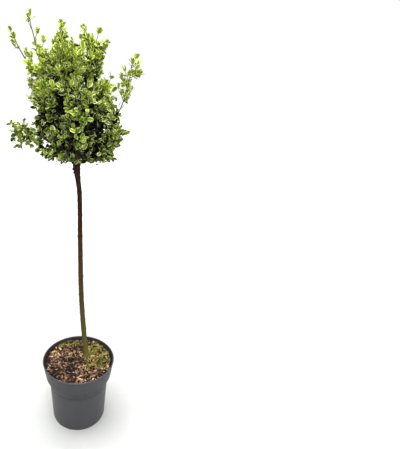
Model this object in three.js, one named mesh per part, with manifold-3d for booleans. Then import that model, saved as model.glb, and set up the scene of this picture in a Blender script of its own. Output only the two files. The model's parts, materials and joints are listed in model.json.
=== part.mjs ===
// A small grafted standard of variegated evergreen spindle, growing in its round nursery pot.
// Millimetres, +Z up. The origin is the middle of the pot's flat underside, and the side that
// faces -Y is the front. Every limb, twig and leaf is worked out from the sizes named below.

import * as THREE from "three";
import { mergeVertices } from "three/addons/utils/BufferGeometryUtils.js";
import Module from "manifold-3d";

const wasm = await Module();
wasm.setup();

const GAP = 0.3; // clearance between neighbouring pieces

// Pot: a thin wall that narrows downwards, under a deep collar that steps out at its foot.
const POT_HEIGHT = 180;
const POT_RIM_RADIUS = 95;
const POT_LIP_DEPTH = 3.2;
const POT_LIP_PROUD = 0.8;
const POT_COLLAR_FOOT = 137.5;
const POT_COLLAR_FOOT_RADIUS = 87.7;
const POT_SHOULDER_FOOT = 112.5;
const POT_SHOULDER_FOOT_RADIUS = 77.9;
const POT_SHOULDER_STEPS = 4;
const POT_BASE_RADIUS = 71;
const POT_BASE_ROUND = 3;
const POT_WALL = 2.4;
const POT_FLOOR = 3.2;
const POT_SIDES = 40;
const DRAIN_COUNT = 6;
const DRAIN_RADIUS = 6.5;
const DRAIN_RING = 47;
const DRAIN_SIDES = 10;

// Compost: a plug that fills the pot to just under the rim, with an uneven top.
const COMPOST_EDGE = 166;
const COMPOST_MOUND = 3.4;
const COMPOST_LUMP = 1.7;
const COMPOST_RINGS = 5;
const COMPOST_SIDES = 26;
const SEAT_RADIUS = 13; // level patch that the stem's foot stands on
const SEAT_BLEND = 12;

// Trunk: a clear stem with a slight bend, a flared foot and a swollen head at the graft.
const FOOT = [21.5, 19, 168.3];
const STEM_COURSE = [[17.2, 16.5, 214], [8, 9.5, 360], [5.5, 5, 520], [4.2, 2.4, 640], [-1.2, 0.8, 694]];
const HEAD_TOP = [-2.5, 0, 736];
const TRUNK_RADIUS_LOW = 6.7;
const TRUNK_RADIUS_HIGH = 5.6;
const FLARE = 3.6;
const FLARE_HEIGHT = 9;
const HEAD_SWELL = 2.4;
const HEAD_START = 655;
const HEAD_FULL = 706;
const HEAD_ROUND = 12;
const TRUNK_SIDES = 10;
const HEAD_FLAT = 0.62; // radius of the head's flat top, as a share of its full radius
// Fractions of the trunk's course at which its outline bends.
const TRUNK_RINGS = [
  0, 0.008, 0.02, 0.045, 0.1, 0.2, 0.32, 0.45, 0.58,
  0.7, 0.8, 0.87, 0.915, 0.95, 0.975, 0.988, 1,
];

// Boughs: [name, parent, fraction along the parent, way out, tip, radius at the root, rise at the tip].
const BOUGHS = [
  ["lower_left", "trunk", 0.957, [-1, -0.1, 0.25], [-32, -5, 736], 3, 0.15],
  ["lower_front", "trunk", 0.964, [-0.1, -1, 0.3], [-4, -29, 738], 2.9, 0.15],
  ["lower_right", "trunk", 0.959, [1, -0.1, 0.25], [29, -4, 736], 3, 0.15],
  ["lower_back", "trunk", 0.966, [0, 1, 0.3], [-2, 29, 740], 2.9, 0.15],
  ["leader_left", "trunk", 0.975, [-1, -0.1, 0.9], [-44, -6, 858], 3.3, 0.5],
  ["leader_front", "trunk", 0.979, [-0.15, -1, 0.9], [-20, -26, 856], 3.2, 0.5],
  ["leader_right", "trunk", 0.976, [1, 0.05, 0.9], [18, 4, 862], 3.3, 0.5],
  ["leader_back", "trunk", 0.98, [-0.05, 1, 0.9], [-20, 32, 862], 3.2, 0.5],
  ["leader_centre", "trunk", 0.99, [-0.06, 0.03, 1], [-24, 4, 892], 3.4, 0.3],
  ["middle_left", "leader_left", 0.36, [-1, -0.5, 0.7], [-42, -20, 798], 2.1, 0.2],
  ["middle_front", "leader_front", 0.34, [0.9, -0.8, 0.7], [13, -34, 798], 2.1, 0.2],
  ["middle_right", "leader_right", 0.4, [1, 0.5, 0.7], [38, 14, 800], 2.1, 0.2],
  ["middle_back", "leader_back", 0.36, [-0.8, 0.8, 0.7], [-34, 36, 802], 2.1, 0.2],
  ["far_left_shoot", "leader_left", 0.76, [-1, 0.3, 0.7], [-72, 2, 868], 1.8, 0.3],
  ["left_shoot", "leader_left", 0.6, [-0.5, 0.9, 0.8], [-62, 20, 868], 1.8, 0.4],
  ["far_right_shoot", "lower_right", 0.5, [0.3, 0.1, 1], [64, -4, 780], 2.2, 0.1],
  ["lower_left_spray", "lower_left", 0.55, [-0.7, 0.35, 0.9], [-70, 4, 762], 2, 0.1],
];
const BOUGH_TIP_RADIUS = 1.7;
const BOUGH_SIDES = 5;
const BOUGH_RINGS = 4;
const PULL = 0.36; // how far the first and last direction reach along a limb, as a share of its length

// Masses of foliage: [bough it grows on from, tip of its stem, way in at the tip].
const MASSES = [
  ["lower_left", [-74, -16, 766], [-0.8, -0.2, 1]],
  ["lower_front", [-8, -58, 766], [0, -0.8, 1]],
  ["lower_right", [78, -16, 764], [0.8, -0.2, 1]],
  ["lower_back", [-4, 58, 770], [0, 0.8, 1]],
  ["middle_left", [-62, -46, 850], [-0.4, -0.2, 1]],
  ["middle_front", [22, -58, 842], [0.2, -0.5, 1]],
  ["middle_right", [56, 24, 850], [0.3, 0.2, 1]],
  ["middle_back", [-50, 56, 856], [-0.3, 0.4, 1]],
  ["leader_left", [-66, -2, 922], [-0.3, 0, 1]],
  ["leader_front", [-24, -44, 922], [0, -0.2, 1]],
  ["leader_right", [36, 2, 942], [0.2, 0, 1]],
  ["leader_back", [-26, 42, 922], [0, 0.2, 1]],
  ["leader_centre", [-27, 2, 966], [0, 0, 1]],
  ["far_left_shoot", [-121, 2, 954], [-0.35, 0, 1]],
  ["left_shoot", [-89, 12, 978], [-0.25, 0, 1]],
  ["far_right_shoot", [110, -12, 906], [0.1, 0, 1]],
  ["lower_left_spray", [-118, -4, 780], [-1, 0, 0.5]],
];

// Shoots stand out of the crown: number and length of their side twigs, and distance between whorls.
const SHOOTS = {
  far_left_shoot: { twigs: 2, length: 14, spacing: 21 },
  left_shoot: { twigs: 2, length: 12, spacing: 26 },
  far_right_shoot: { twigs: 5, length: 22, spacing: 17 },
  lower_left_spray: { twigs: 7, length: 22, spacing: 15 },
};
const SHOOT_REACH = 36;
const STEM_RADIUS = 1.5;
const STEM_TIP_RADIUS = 0.8;
const STEM_BARE = 0.62; // fraction of a stem that carries no leaves of its own
const SHOOT_BARE = 0.3;

// Crown outline: [height, reach to -X, reach to +X, reach to the front and the back], from the pot's axis.
const OUTLINE = [
  [702, -14, 18, 12],
  [709, -48, 54, 34],
  [718, -66, 75, 54],
  [732, -80, 86, 66],
  [750, -92, 94, 76],
  [775, -97, 104, 82],
  [800, -91, 94, 82],
  [835, -93, 76, 78],
  [870, -98, 62, 76],
  [905, -100, 50, 70],
  [928, -84, 58, 60],
  [950, -60, 63, 46],
  [970, -44, 54, 30],
  [988, -34, -16, 12],
];
const CROWN_MIDDLE = [-4, 0, 800];

// Dense masses have a smaller core round the middle of the stem, which the twigs stand out of.
const CORE_DETAIL = 1;
const CORE_SHARE = 0.58; // of the crown's reach
const CORE_PLACE = 0.15; // fraction of the stem at which a core has its middle
const CORE_STEP = 2;
const CORE_LEAST = 5;
const CORE_MOST = 50;
const CORE_LUMPS = 0.3; // share of a core's reach by which its corners stand back unevenly
const CORE_CLEARANCE = 1.6;

// Twigs: each grows out of its stem to a spot of light on the crown's outline.
const GOLDEN_ANGLE = THREE.MathUtils.degToRad(137.5);
const SPOT_SPACING = 28.5;
const SPOT_SHARES = [0.78, 0.92]; // of the crown's reach, at which twigs end
const TWIG_BACK = [0.1, 0.42]; // how far down the stem from its spot a twig starts, as a share of the stem
const TWIG_FIRST = 0.13; // fraction of the stem below which no twig leaves it
const TWIG_LAST = 0.92;
const TWIG_SHARES = [1, 0.84, 0.7]; // shares of a twig's way that are tried until it has room
const TWIG_SHORTEST = 10;
const TWIG_DEPTH = 0.68; // least share of the crown's reach at which a twig ends
const TWIG_RADIUS = 1.2;
const TWIG_TIP_RADIUS = 0.9;
const TWIG_SIDES = 3;
const LIFT_LOW = -0.3; // turn of a twig's tip up towards the light, at the foot of the crown
const LIFT_HIGH = 0.6; // and from the middle upwards
const SHOOT_LEAN = THREE.MathUtils.degToRad(55); // lean of a shoot's side twigs away from its stem

// Leaves: whorls of up to three, and one at the tip of each twig.
const NODE_SPACING = 14; // distance between two whorls
const NODE_FIRST = 7;
const NODES_MOST = 2;
const NODE_LENGTH = 2.4; // stretch of a twig that a whorl's leaves grow from
const LEAVES_LEAST = 2; // on a twig that is worth keeping
const LEAF_LENGTH = 24;
const LEAF_WIDTH = 15;
const LEAF_THICKNESS = 1.2;
const LEAF_WIDEST = 0.45; // fraction of a leaf's length where it is widest
// Ways tried for a leaf until it has room: lean out of its twig, lean along it, share of its length.
const LEAF_TRIES = [[0.85, 0.5, 1], [0.5, 0.85, 0.94], [0.95, 0.05, 0.85], [0.3, 1, 0.8]];
const LEAF_TIP_LIFT = 0.2;
const LEAF_FACE_UP = 0.55; // how far a leaf's face turns up, and out of the crown
const LEAF_FACE_OUT = 0.7;
const LEAF_FACE_STRAY = 0.45;
const LEAF_DEPTH = 0.68; // least share of the crown's reach at which leaves stand
const LEAF_LIMIT = 1.08; // share of the crown's reach that no leaf passes
const LEAF_NEAR = 45; // no leaf reaches anything that is further from its root
const LEAF_MARGIN = 0.12; // share of its half width that two leaves keep apart
const BAR_STEP = 2.5;
const LIMB_CLEARANCE = 1.5;
const CELL_CLEARANCE = 0.8;
const SEED = 9;

const UP = new THREE.Vector3(0, 0, 1);
const crownMiddle = vector(CROWN_MIDDLE);

/** A repeatable number from 0 to 1 for a list of whole numbers. */
function chance(...keys) {
  let h = SEED;
  for (const key of keys) {
    h = Math.imul(h ^ (key + 0x7f4a7c15), 0x85ebca6b);
    h ^= h >>> 13;
    h = Math.imul(h, 0xc2b2ae35);
    h ^= h >>> 16;
  }
  return (h >>> 0) / 4294967296;
}

/** A repeatable number from low to high. */
function between(low, high, ...keys) {
  return low + (high - low) * chance(...keys);
}

function vector(triple) {
  return new THREE.Vector3(...triple);
}

/** Rises smoothly from 0 at low to 1 at high. */
function ramp(value, low, high) {
  return THREE.MathUtils.smoothstep(value, low, high);
}

// Closed meshes and solids.

/** Keeps only the places of the corners, merges them and drops faces that have no area. */
function closed(geometry) {
  geometry.deleteAttribute("normal");
  geometry.deleteAttribute("uv");
  const merged = mergeVertices(geometry, 1e-4);
  const index = merged.index.array;
  const kept = [];
  for (let i = 0; i < index.length; i += 3) {
    const [a, b, c] = index.slice(i, i + 3);
    if (a !== b && b !== c && c !== a) kept.push(a, b, c);
  }
  merged.setIndex(kept);
  return merged;
}

function solid(geometry) {
  const mesh = closed(geometry);
  return new wasm.Manifold(new wasm.Mesh({
    numProp: 3,
    vertProperties: new Float32Array(mesh.attributes.position.array),
    triVerts: new Uint32Array(mesh.index.array),
  }));
}

/** The corner each corner is joined to, through any chain of edges. */
function groupsOf(triangles, corners) {
  const root = Array.from({ length: corners }, (_, i) => i);
  const find = (i) => {
    while (root[i] !== i) {
      root[i] = root[root[i]];
      i = root[i];
    }
    return i;
  };
  for (let i = 0; i < triangles.length; i += 3) {
    root[find(triangles[i + 1])] = find(triangles[i]);
    root[find(triangles[i + 2])] = find(triangles[i]);
  }
  return Array.from({ length: corners }, (_, i) => find(i));
}

/** The geometry of a solid's largest shell, without sealed hollows and loose scraps. */
function largestShell(shape) {
  const mesh = shape.getMesh();
  const triangles = mesh.triVerts;
  const places = mesh.vertProperties;
  const groups = groupsOf(triangles, places.length / 3);
  const corner = (i) => new THREE.Vector3(places[3 * i], places[3 * i + 1], places[3 * i + 2]);
  const volumes = new Map();
  for (let i = 0; i < triangles.length; i += 3) {
    const [a, b, c] = [corner(triangles[i]), corner(triangles[i + 1]), corner(triangles[i + 2])];
    const group = groups[triangles[i]];
    volumes.set(group, (volumes.get(group) ?? 0) + a.dot(b.cross(c)));
  }
  const largest = [...volumes].reduce((best, entry) => (entry[1] > best[1] ? entry : best))[0];
  const kept = [];
  for (let i = 0; i < triangles.length; i += 3) {
    if (groups[triangles[i]] === largest) kept.push(triangles[i], triangles[i + 1], triangles[i + 2]);
  }
  const geometry = new THREE.BufferGeometry();
  geometry.setAttribute("position", new THREE.BufferAttribute(new Float32Array(places), 3));
  geometry.setIndex(kept);
  return closed(geometry);
}

// Limbs.

/** A round bar of changing radius along a curve, from a cylinder bent ring by ring. */
function bentBar(curve, fractions, radiusAt, sides) {
  const rings = fractions.length - 1;
  const bar = new THREE.CylinderGeometry(1, 1, 1, sides, rings);
  const chord = curve.getPoint(1).sub(curve.getPoint(0)).normalize();
  const reference = Math.abs(chord.y) > 0.8 ? new THREE.Vector3(1, 0, 0) : new THREE.Vector3(0, 1, 0);
  const frames = fractions.map((t) => {
    const along = curve.getTangentAt(t);
    const side = reference.clone().addScaledVector(along, -reference.dot(along)).normalize();
    return { centre: curve.getPointAt(t), side, across: side.clone().cross(along), radius: radiusAt(t) };
  });
  const places = bar.attributes.position;
  for (let i = 0; i < places.count; i++) {
    const frame = frames[Math.round((places.getY(i) + 0.5) * rings)];
    const place = frame.centre.clone()
      .addScaledVector(frame.side, places.getX(i) * frame.radius)
      .addScaledVector(frame.across, places.getZ(i) * frame.radius);
    places.setXYZ(i, place.x, place.y, place.z);
  }
  return bar;
}

function evenFractions(rings) {
  return Array.from({ length: rings + 1 }, (_, i) => i / rings);
}

/** A limb's course from one point to another, leaving and arriving in the given directions. */
function course(start, leave, end, arrive) {
  const pull = PULL * start.distanceTo(end);
  return new THREE.CubicBezierCurve3(
    start,
    start.clone().addScaledVector(leave.clone().normalize(), pull),
    end.clone().addScaledVector(arrive.clone().normalize(), -pull),
    end,
  );
}

const trunkPoints = [FOOT, ...STEM_COURSE, HEAD_TOP].map(vector);
const trunkCurve = new THREE.CatmullRomCurve3(trunkPoints, false, "centripetal");

/** Radius of the trunk at a fraction of its course: taper, flared foot, swollen and rounded head. */
function trunkRadius(t) {
  const height = trunkCurve.getPointAt(t).z;
  const taper = THREE.MathUtils.lerp(TRUNK_RADIUS_LOW, TRUNK_RADIUS_HIGH, Math.min(1, t * 1.4));
  const flare = FLARE * Math.exp((FOOT[2] - height) / FLARE_HEIGHT);
  const head = HEAD_SWELL * ramp(height, HEAD_START, HEAD_FULL);
  const fromTop = THREE.MathUtils.clamp((HEAD_TOP[2] - height) / HEAD_ROUND, 0, 1);
  return (taper + flare + head) * THREE.MathUtils.lerp(HEAD_FLAT, 1, Math.sqrt(1 - (1 - fromTop) ** 2));
}

/** The trunk, standing on a level cut, grown by a margin where it serves as a cutter. */
function trunkSolid(margin) {
  const bar = bentBar(trunkCurve, TRUNK_RINGS, (t) => trunkRadius(t) + margin, TRUNK_SIDES);
  const places = bar.attributes.position;
  for (let i = 0; i < places.count; i++) {
    if (places.getZ(i) < FOOT[2] + 1.5) places.setZ(i, FOOT[2] - margin);
    if (places.getZ(i) > HEAD_TOP[2] - 1.5) places.setZ(i, places.getZ(i) + margin);
  }
  return solid(bar);
}

/** Works out every bough's course from its parent's. */
function growBoughs() {
  const grown = new Map([["trunk", { curve: trunkCurve, radiusAt: trunkRadius }]]);
  for (const [name, parent, at, leave, tip, radius, rise] of BOUGHS) {
    const start = grown.get(parent).curve.getPointAt(at);
    const end = vector(tip);
    const arrive = end.clone().sub(start).normalize().addScaledVector(UP, rise);
    grown.set(name, {
      parent,
      curve: course(start, vector(leave), end, arrive),
      radiusAt: (t) => THREE.MathUtils.lerp(radius, BOUGH_TIP_RADIUS, t),
    });
  }
  return grown;
}

function limbSolid(limb, margin) {
  const radiusAt = (t) => limb.radiusAt(t) + margin;
  return solid(bentBar(limb.curve, evenFractions(BOUGH_RINGS), radiusAt, BOUGH_SIDES));
}

const limbs = growBoughs();

/** A limb grown by the gap that its neighbours keep to it. */
function limbCutter(limb) {
  return limb.parent ? limbSolid(limb, GAP) : trunkSolid(GAP);
}

/** One tapering bough, cut back so that it stands clear of the limb it grows from. */
function boughSolid(name) {
  const limb = limbs.get(name);
  return limbSolid(limb, 0).subtract(limbCutter(limbs.get(limb.parent)));
}

// The space of each mass.

/** Points along a limb with the limb's radius there. */
function samples(limb, count) {
  return evenFractions(count).map((t) => ({ place: limb.curve.getPointAt(t), radius: limb.radiusAt(t) }));
}

const limbSamples = [...limbs.values()].flatMap((limb) => samples(limb, limb.parent ? 40 : 160));

/** Distance from a point to the nearest limb's bark. */
function limbDistance(point) {
  return Math.min(...limbSamples.map(({ place, radius }) => place.distanceTo(point) - radius));
}

/** Works out the stem of every mass, which grows on from its bough's tip. */
function growStems() {
  return MASSES.map(([bough, tip, arrive], number) => {
    const limb = limbs.get(bough);
    const along = limb.curve.getTangentAt(1);
    const start = limb.curve.getPointAt(1).addScaledVector(along, GAP);
    const curve = course(start, along, vector(tip), vector(arrive));
    return { name: bough, number, curve, shoot: SHOOTS[bough] };
  });
}

const stems = growStems();
const stemPoints = stems.map((stem) => evenFractions(24).map((t) => stem.curve.getPointAt(t)));

function stemDistance(number, point) {
  return Math.min(...stemPoints[number].map((place) => place.distanceTo(point)));
}

/** Whether a point is nearer to this mass's stem than to any other mass's, by a clearance. */
function inCell(number, point, clearance) {
  const own = stemDistance(number, point);
  return stems.every((other) => other.number === number
    || stemDistance(other.number, point) > own + clearance);
}

/** The crown's reach at a height, between the two nearest rows of its outline. */
function outlineAt(height) {
  const above = OUTLINE.findIndex((row) => row[0] > height);
  if (above < 1) return null;
  const [low, high] = [OUTLINE[above - 1], OUTLINE[above]];
  const share = (height - low[0]) / (high[0] - low[0]);
  return low.map((value, i) => THREE.MathUtils.lerp(value, high[i], share));
}

/** Whether a point is inside the crown's outline. */
function inOutline(point) {
  const row = outlineAt(point.z);
  if (row === null) return false;
  const [, left, right, deep] = row;
  return Math.hypot((2 * point.x - left - right) / (right - left), point.y / deep) < 1;
}

/** How far out a point lies in the crown: 0 at its middle and 1 on its outline. */
function depthInCrown(point) {
  const way = point.clone().sub(crownMiddle);
  let [low, high] = [0, 6];
  for (let i = 0; i < 12; i++) {
    const share = (low + high) / 2;
    if (inOutline(crownMiddle.clone().addScaledVector(way, share))) low = share;
    else high = share;
  }
  return 1 / low;
}

/** How far out a point lies in the space of a mass: the crown's outline, or a shoot's own reach, is 1. */
function depthIn(stem, point) {
  return stem.shoot ? stemDistance(stem.number, point) / SHOOT_REACH : depthInCrown(point);
}

/** Whether a point lies in the space of a mass: its cell, out to a share of its reach, clear of limbs. */
function inSpace(stem, point, share) {
  return depthIn(stem, point) < share
    && inCell(stem.number, point, CELL_CLEARANCE)
    && limbDistance(point) > LIMB_CLEARANCE;
}

/** The dark middle of a dense mass: a ball whose corners reach out through the mass's cell. */
function coreBall(stem) {
  const centre = stem.curve.getPointAt(CORE_PLACE);
  const ball = new THREE.IcosahedronGeometry(1, CORE_DETAIL);
  const places = ball.attributes.position;
  for (let i = 0; i < places.count; i++) {
    const way = new THREE.Vector3().fromBufferAttribute(places, i).normalize();
    const at = (reach) => centre.clone().addScaledVector(way, reach);
    let reach = CORE_LEAST;
    while (reach < CORE_MOST && depthInCrown(at(reach)) < CORE_SHARE
      && inCell(stem.number, at(reach), CORE_CLEARANCE)) reach += CORE_STEP;
    const keys = way.toArray().map((value) => Math.round(value * 50));
    const lump = between(1 - CORE_LUMPS, 1, stem.number, ...keys);
    const place = at(Math.max(CORE_LEAST, lump * (reach - CORE_STEP)));
    places.setXYZ(i, place.x, place.y, place.z);
  }
  return ball;
}

// Twigs and leaves.

/** A direction square to another, turning evenly along a limb that keeps roughly to one way. */
function squareTo(direction, limbWay) {
  const helper = Math.abs(limbWay.z) < 0.85 ? UP : new THREE.Vector3(1, 0, 0);
  return helper.clone().cross(direction).normalize();
}

/** Spots spread evenly over the crown's outline, each with the mass that it belongs to. */
function lightSpots() {
  const profile = new THREE.Path(OUTLINE.map(([height, left, right, deep]) => (
    new THREE.Vector2((right - left + 2 * deep) / 4, height))));
  const rows = Math.round(profile.getLength() / SPOT_SPACING);
  return profile.getSpacedPoints(rows).slice(0, -1).flatMap(({ y: height }, row) => {
    const [, left, right, deep] = outlineAt(height);
    const count = Math.round(Math.PI * ((right - left) / 2 + deep) / SPOT_SPACING);
    return Array.from({ length: count }, (_, i) => {
      const turn = 2 * Math.PI * (i + 0.5 * (row % 2) + between(-0.25, 0.25, row, i, 1)) / count;
      const share = between(...SPOT_SHARES, row, i, 2);
      const across = (left + right) / 2 + share * Math.cos(turn) * (right - left) / 2;
      const place = new THREE.Vector3(across, share * Math.sin(turn) * deep, height);
      const distances = stems.map((stem) => stemDistance(stem.number, place));
      return { place, key: 100 * (row + 1) + i, number: distances.indexOf(Math.min(...distances)) };
    });
  });
}

/** Whether a twig stays clear of limbs, and in the space of its mass from a third of its way onwards. */
function hasRoom(stem, curve) {
  return barPoints(curve).every((point) => limbDistance(point) > LIMB_CLEARANCE)
    && [0.35, 0.5, 0.65, 0.8, 0.9, 1].every((t) => inSpace(stem, curve.getPointAt(t), 1));
}

/** The course of a twig from its stem towards a spot, as far as there is room, or null. */
function twigToSpot(stem, spot) {
  const points = stemPoints[stem.number];
  const distances = points.map((point) => point.distanceTo(spot.place));
  const nearest = distances.indexOf(Math.min(...distances)) / (points.length - 1);
  const back = between(...TWIG_BACK, spot.key, 3);
  const t = THREE.MathUtils.clamp(nearest - back, TWIG_FIRST, TWIG_LAST);
  const start = stem.curve.getPointAt(t);
  const toward = spot.place.clone().sub(start).normalize();
  const leave = toward.clone().addScaledVector(stem.curve.getTangentAt(t), 0.4);
  const lift = THREE.MathUtils.lerp(LIFT_LOW, LIFT_HIGH, ramp(spot.place.z, OUTLINE[2][0], OUTLINE[6][0]));
  const arrive = toward.clone().addScaledVector(UP, lift);
  for (const share of TWIG_SHARES) {
    const end = start.clone().lerp(spot.place, share);
    const curve = course(start, leave, end, arrive);
    const lit = stem.shoot || depthInCrown(end) > TWIG_DEPTH;
    if (lit && curve.getLength() > TWIG_SHORTEST && hasRoom(stem, curve)) return curve;
  }
  return null;
}

/** The course of a shoot's side twig, which leaves its stem at the golden angle, or null without room. */
function sideTwig(stem, k) {
  const { twigs, length } = stem.shoot;
  const t = THREE.MathUtils.lerp(SHOOT_BARE, TWIG_LAST, (k + 0.5) / twigs);
  const start = stem.curve.getPointAt(t);
  const along = stem.curve.getTangentAt(t);
  const turn = k * GOLDEN_ANGLE + 2 * Math.PI * chance(stem.number, 1);
  const side = squareTo(along, along).applyAxisAngle(along, turn);
  const leave = along.clone().multiplyScalar(Math.cos(SHOOT_LEAN));
  leave.addScaledVector(side, Math.sin(SHOOT_LEAN));
  const arrive = leave.clone().addScaledVector(UP, LIFT_HIGH);
  const end = start.clone().addScaledVector(leave, length * between(0.8, 1.2, stem.number, k, 4));
  const curve = course(start, leave, end, arrive);
  return hasRoom(stem, curve) ? curve : null;
}

/** Whether a point is in the light outside the core of its mass. */
function outOfCore(stem, point) {
  return stem.shoot || depthInCrown(point) > CORE_SHARE;
}

/** Frame of a leaf that grows from a root: its length, its width and its face, up and out of the crown. */
function leafFrame(root, direction, share, keys) {
  const along = direction.clone().normalize();
  const row = outlineAt(root.z) ?? OUTLINE[OUTLINE.length - 1];
  const out = new THREE.Vector3(root.x - (row[1] + row[2]) / 2, root.y, 0).normalize();
  const stray = vector([5, 6, 7].map((key) => between(-LEAF_FACE_STRAY, LEAF_FACE_STRAY, ...keys, key)));
  const face = UP.clone().multiplyScalar(LEAF_FACE_UP).addScaledVector(out, LEAF_FACE_OUT).add(stray);
  face.addScaledVector(along, -face.dot(along)).normalize();
  const length = share * LEAF_LENGTH * between(0.85, 1.1, ...keys, 8);
  return { root, along, side: face.clone().cross(along), face, length };
}

/** A place on a leaf, as shares of its length, half width and half thickness. */
function onLeaf({ root, along, side, face, length }, u, v, w) {
  return root.clone()
    .addScaledVector(along, u * length)
    .addScaledVector(side, v * LEAF_WIDTH / 2)
    .addScaledVector(face, w * LEAF_THICKNESS / 2);
}

/** Spots over a leaf: the corners of its edge in order, then spots within. */
const LEAF_SPOTS = [
  [0.08, 0], [LEAF_WIDEST, 1], [1, 0], [LEAF_WIDEST, -1],
  [0.72, 0.5], [0.72, -0.5], [0.25, 0.5], [0.25, -0.5], [0.5, 0],
];

/** Height of a point over a leaf's plane, and whether its foot there is within a margin of the blade. */
function overLeaf(point, { root, along, side, face, length }, margin = LEAF_MARGIN) {
  const from = point.clone().sub(root);
  const u = from.dot(along) / length;
  const v = Math.abs(from.dot(side)) / (LEAF_WIDTH / 2);
  const half = u < LEAF_WIDEST ? u / LEAF_WIDEST : (1 - u) / (1 - LEAF_WIDEST);
  return { height: from.dot(face), within: v < half + margin };
}

/** Whether the edge or a spot of one leaf meets the blade of another. */
function meets(points, frame) {
  if (points[0].distanceTo(frame.root) > LEAF_NEAR + LEAF_LENGTH) return false;
  const near = points.map((point) => overLeaf(point, frame));
  const touches = near.some(({ height, within }) => within && Math.abs(height) < LEAF_THICKNESS);
  return touches || [0, 1, 2, 3].some((i) => {
    const [a, b] = [near[i].height, near[(i + 1) % 4].height];
    if (a * b >= 0) return false;
    return overLeaf(points[i].clone().lerp(points[(i + 1) % 4], a / (a - b)), frame).within;
  });
}

/** Points along a twig, close enough together that it can't pass through a leaf between two. */
function barPoints(curve) {
  return evenFractions(Math.ceil(curve.getLength() / BAR_STEP)).map((t) => curve.getPointAt(t));
}

/** Whether a round bar that passes through a point meets a leaf's blade. */
function barMeets(point, frame, radius = TWIG_RADIUS) {
  const { height, within } = overLeaf(point, frame, radius / (LEAF_WIDTH / 2));
  return within && Math.abs(height) < radius + LEAF_THICKNESS / 2;
}

/** Whether a leaf comes closer to any limb than the limbs' clearance. */
function meetsLimb(frame) {
  return limbSamples.some(({ place, radius }) => (
    place.distanceTo(frame.root) < LEAF_NEAR && barMeets(place, frame, radius + GAP)));
}

/** Whether a twig passes through a leaf that has already grown. */
function crosses(curve, taken) {
  return barPoints(curve).some((point) => taken.leaves.some(({ frame }) => barMeets(point, frame)));
}

/** Grows a leaf from a three-cornered patch of bark: faces out to the blade's edge and on to its tip. */
function leafFaces(corners, patch, frame) {
  const edge = [[1, 0], [0, 1], [-1, 0], [0, -1]].map(([v, w]) => onLeaf(frame, LEAF_WIDEST, v, w));
  const first = corners.length;
  corners.push(...edge, onLeaf(frame, 1, 0, 0));
  const tip = first + 4;
  const angle = (i) => {
    const from = corners[i].clone().sub(frame.root);
    return Math.atan2(from.dot(frame.face), from.dot(frame.side));
  };
  const inner = turnToLeast(patch, angle);
  const outer = turnToLeast([first, first + 1, first + 2, first + 3], angle);
  const faces = outer.map((corner, i) => [corner, outer[(i + 1) % 4], tip]);
  const angleAfter = (loop, at) => {
    if (at >= loop.length) return Infinity;
    return at + 1 < loop.length ? angle(loop[at + 1]) : angle(loop[0]) + 2 * Math.PI;
  };
  let [i, o] = [0, 0];
  while (i < inner.length || o < outer.length) {
    const p = inner[i % inner.length];
    const r = outer[o % outer.length];
    if (angleAfter(inner, i) < angleAfter(outer, o)) {
      faces.push([p, inner[(i + 1) % inner.length], r]);
      i += 1;
    } else {
      faces.push([p, outer[(o + 1) % outer.length], r]);
      o += 1;
    }
  }
  return faces;
}

/** The same loop of corners, started from the one with the least angle. */
function turnToLeast(loop, angle) {
  const least = loop.reduce((best, corner, i) => (angle(corner) < angle(loop[best]) ? i : best), 0);
  return [...loop.slice(least), ...loop.slice(0, least)];
}

/** Fractions of a curve between which its whorls of leaves grow, from its foot to its tip. */
function whorls(stem, curve, { first, most }) {
  const length = curve.getLength();
  const spans = [];
  const spacing = stem.shoot?.spacing ?? NODE_SPACING;
  for (let end = length; end - NODE_LENGTH > first && spans.length < most; end -= spacing) {
    if (!stem.shoot && depthInCrown(curve.getPointAt(end / length)) < LEAF_DEPTH) break;
    spans.unshift([(end - NODE_LENGTH) / length, end / length]);
  }
  return spans;
}

/** The three corners of a twig's bark at a fraction of its course. */
function barkRing(curve, t, { radii, keys }) {
  const along = curve.getTangentAt(t);
  const limbWay = curve.getPoint(1).sub(curve.getPoint(0)).normalize();
  const side = squareTo(along, limbWay).applyAxisAngle(along, Math.PI * chance(...keys, 9));
  return Array.from({ length: TWIG_SIDES }, (_, i) => {
    const out = side.clone().applyAxisAngle(along, 2 * Math.PI * i / TWIG_SIDES);
    return curve.getPointAt(t).addScaledVector(out, THREE.MathUtils.lerp(...radii, t));
  });
}

/** The first of a leaf's tries that has room in its mass, which it then takes up, or null. */
function leafWithRoom(stem, patch, out, along, keys, taken) {
  const root = patch.reduce((sum, corner) => sum.add(corner), new THREE.Vector3()).divideScalar(3);
  for (const [leanOut, leanAlong, share] of LEAF_TRIES) {
    const way = out.clone().multiplyScalar(leanOut).addScaledVector(along, leanAlong);
    const frame = leafFrame(root, way, share, keys);
    const points = LEAF_SPOTS.map(([u, v]) => onLeaf(frame, u, v, 0));
    const fits = points.every((point) => inSpace(stem, point, LEAF_LIMIT) && outOfCore(stem, point));
    const clear = !taken.leaves.some((other) => meets(points, other.frame) || meets(other.points, frame))
      && !taken.bars.some((point) => barMeets(point, frame))
      && !meetsLimb(frame);
    if (fits && clear) {
      taken.leaves.push({ frame, points });
      return frame;
    }
  }
  return null;
}

/** The leaves of one whorl, one from each side of its twig that has room: [side, frame] pairs. */
function whorlLeaves(stem, curve, [from, to], look, taken) {
  const [low, high] = [barkRing(curve, from, look), barkRing(curve, to, look)];
  const along = curve.getTangentAt(from);
  const leaves = [];
  for (let i = 0; i < TWIG_SIDES; i++) {
    const next = (i + 1) % TWIG_SIDES;
    const out = low[i].clone().add(low[next]).multiplyScalar(0.5).sub(curve.getPointAt(from)).normalize();
    const keys = [...look.keys, Math.round(1000 * from), i];
    const frame = leafWithRoom(stem, [low[i], low[next], high[next]], out, along, keys, taken);
    if (frame) leaves.push([i, frame]);
  }
  return leaves;
}

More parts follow.
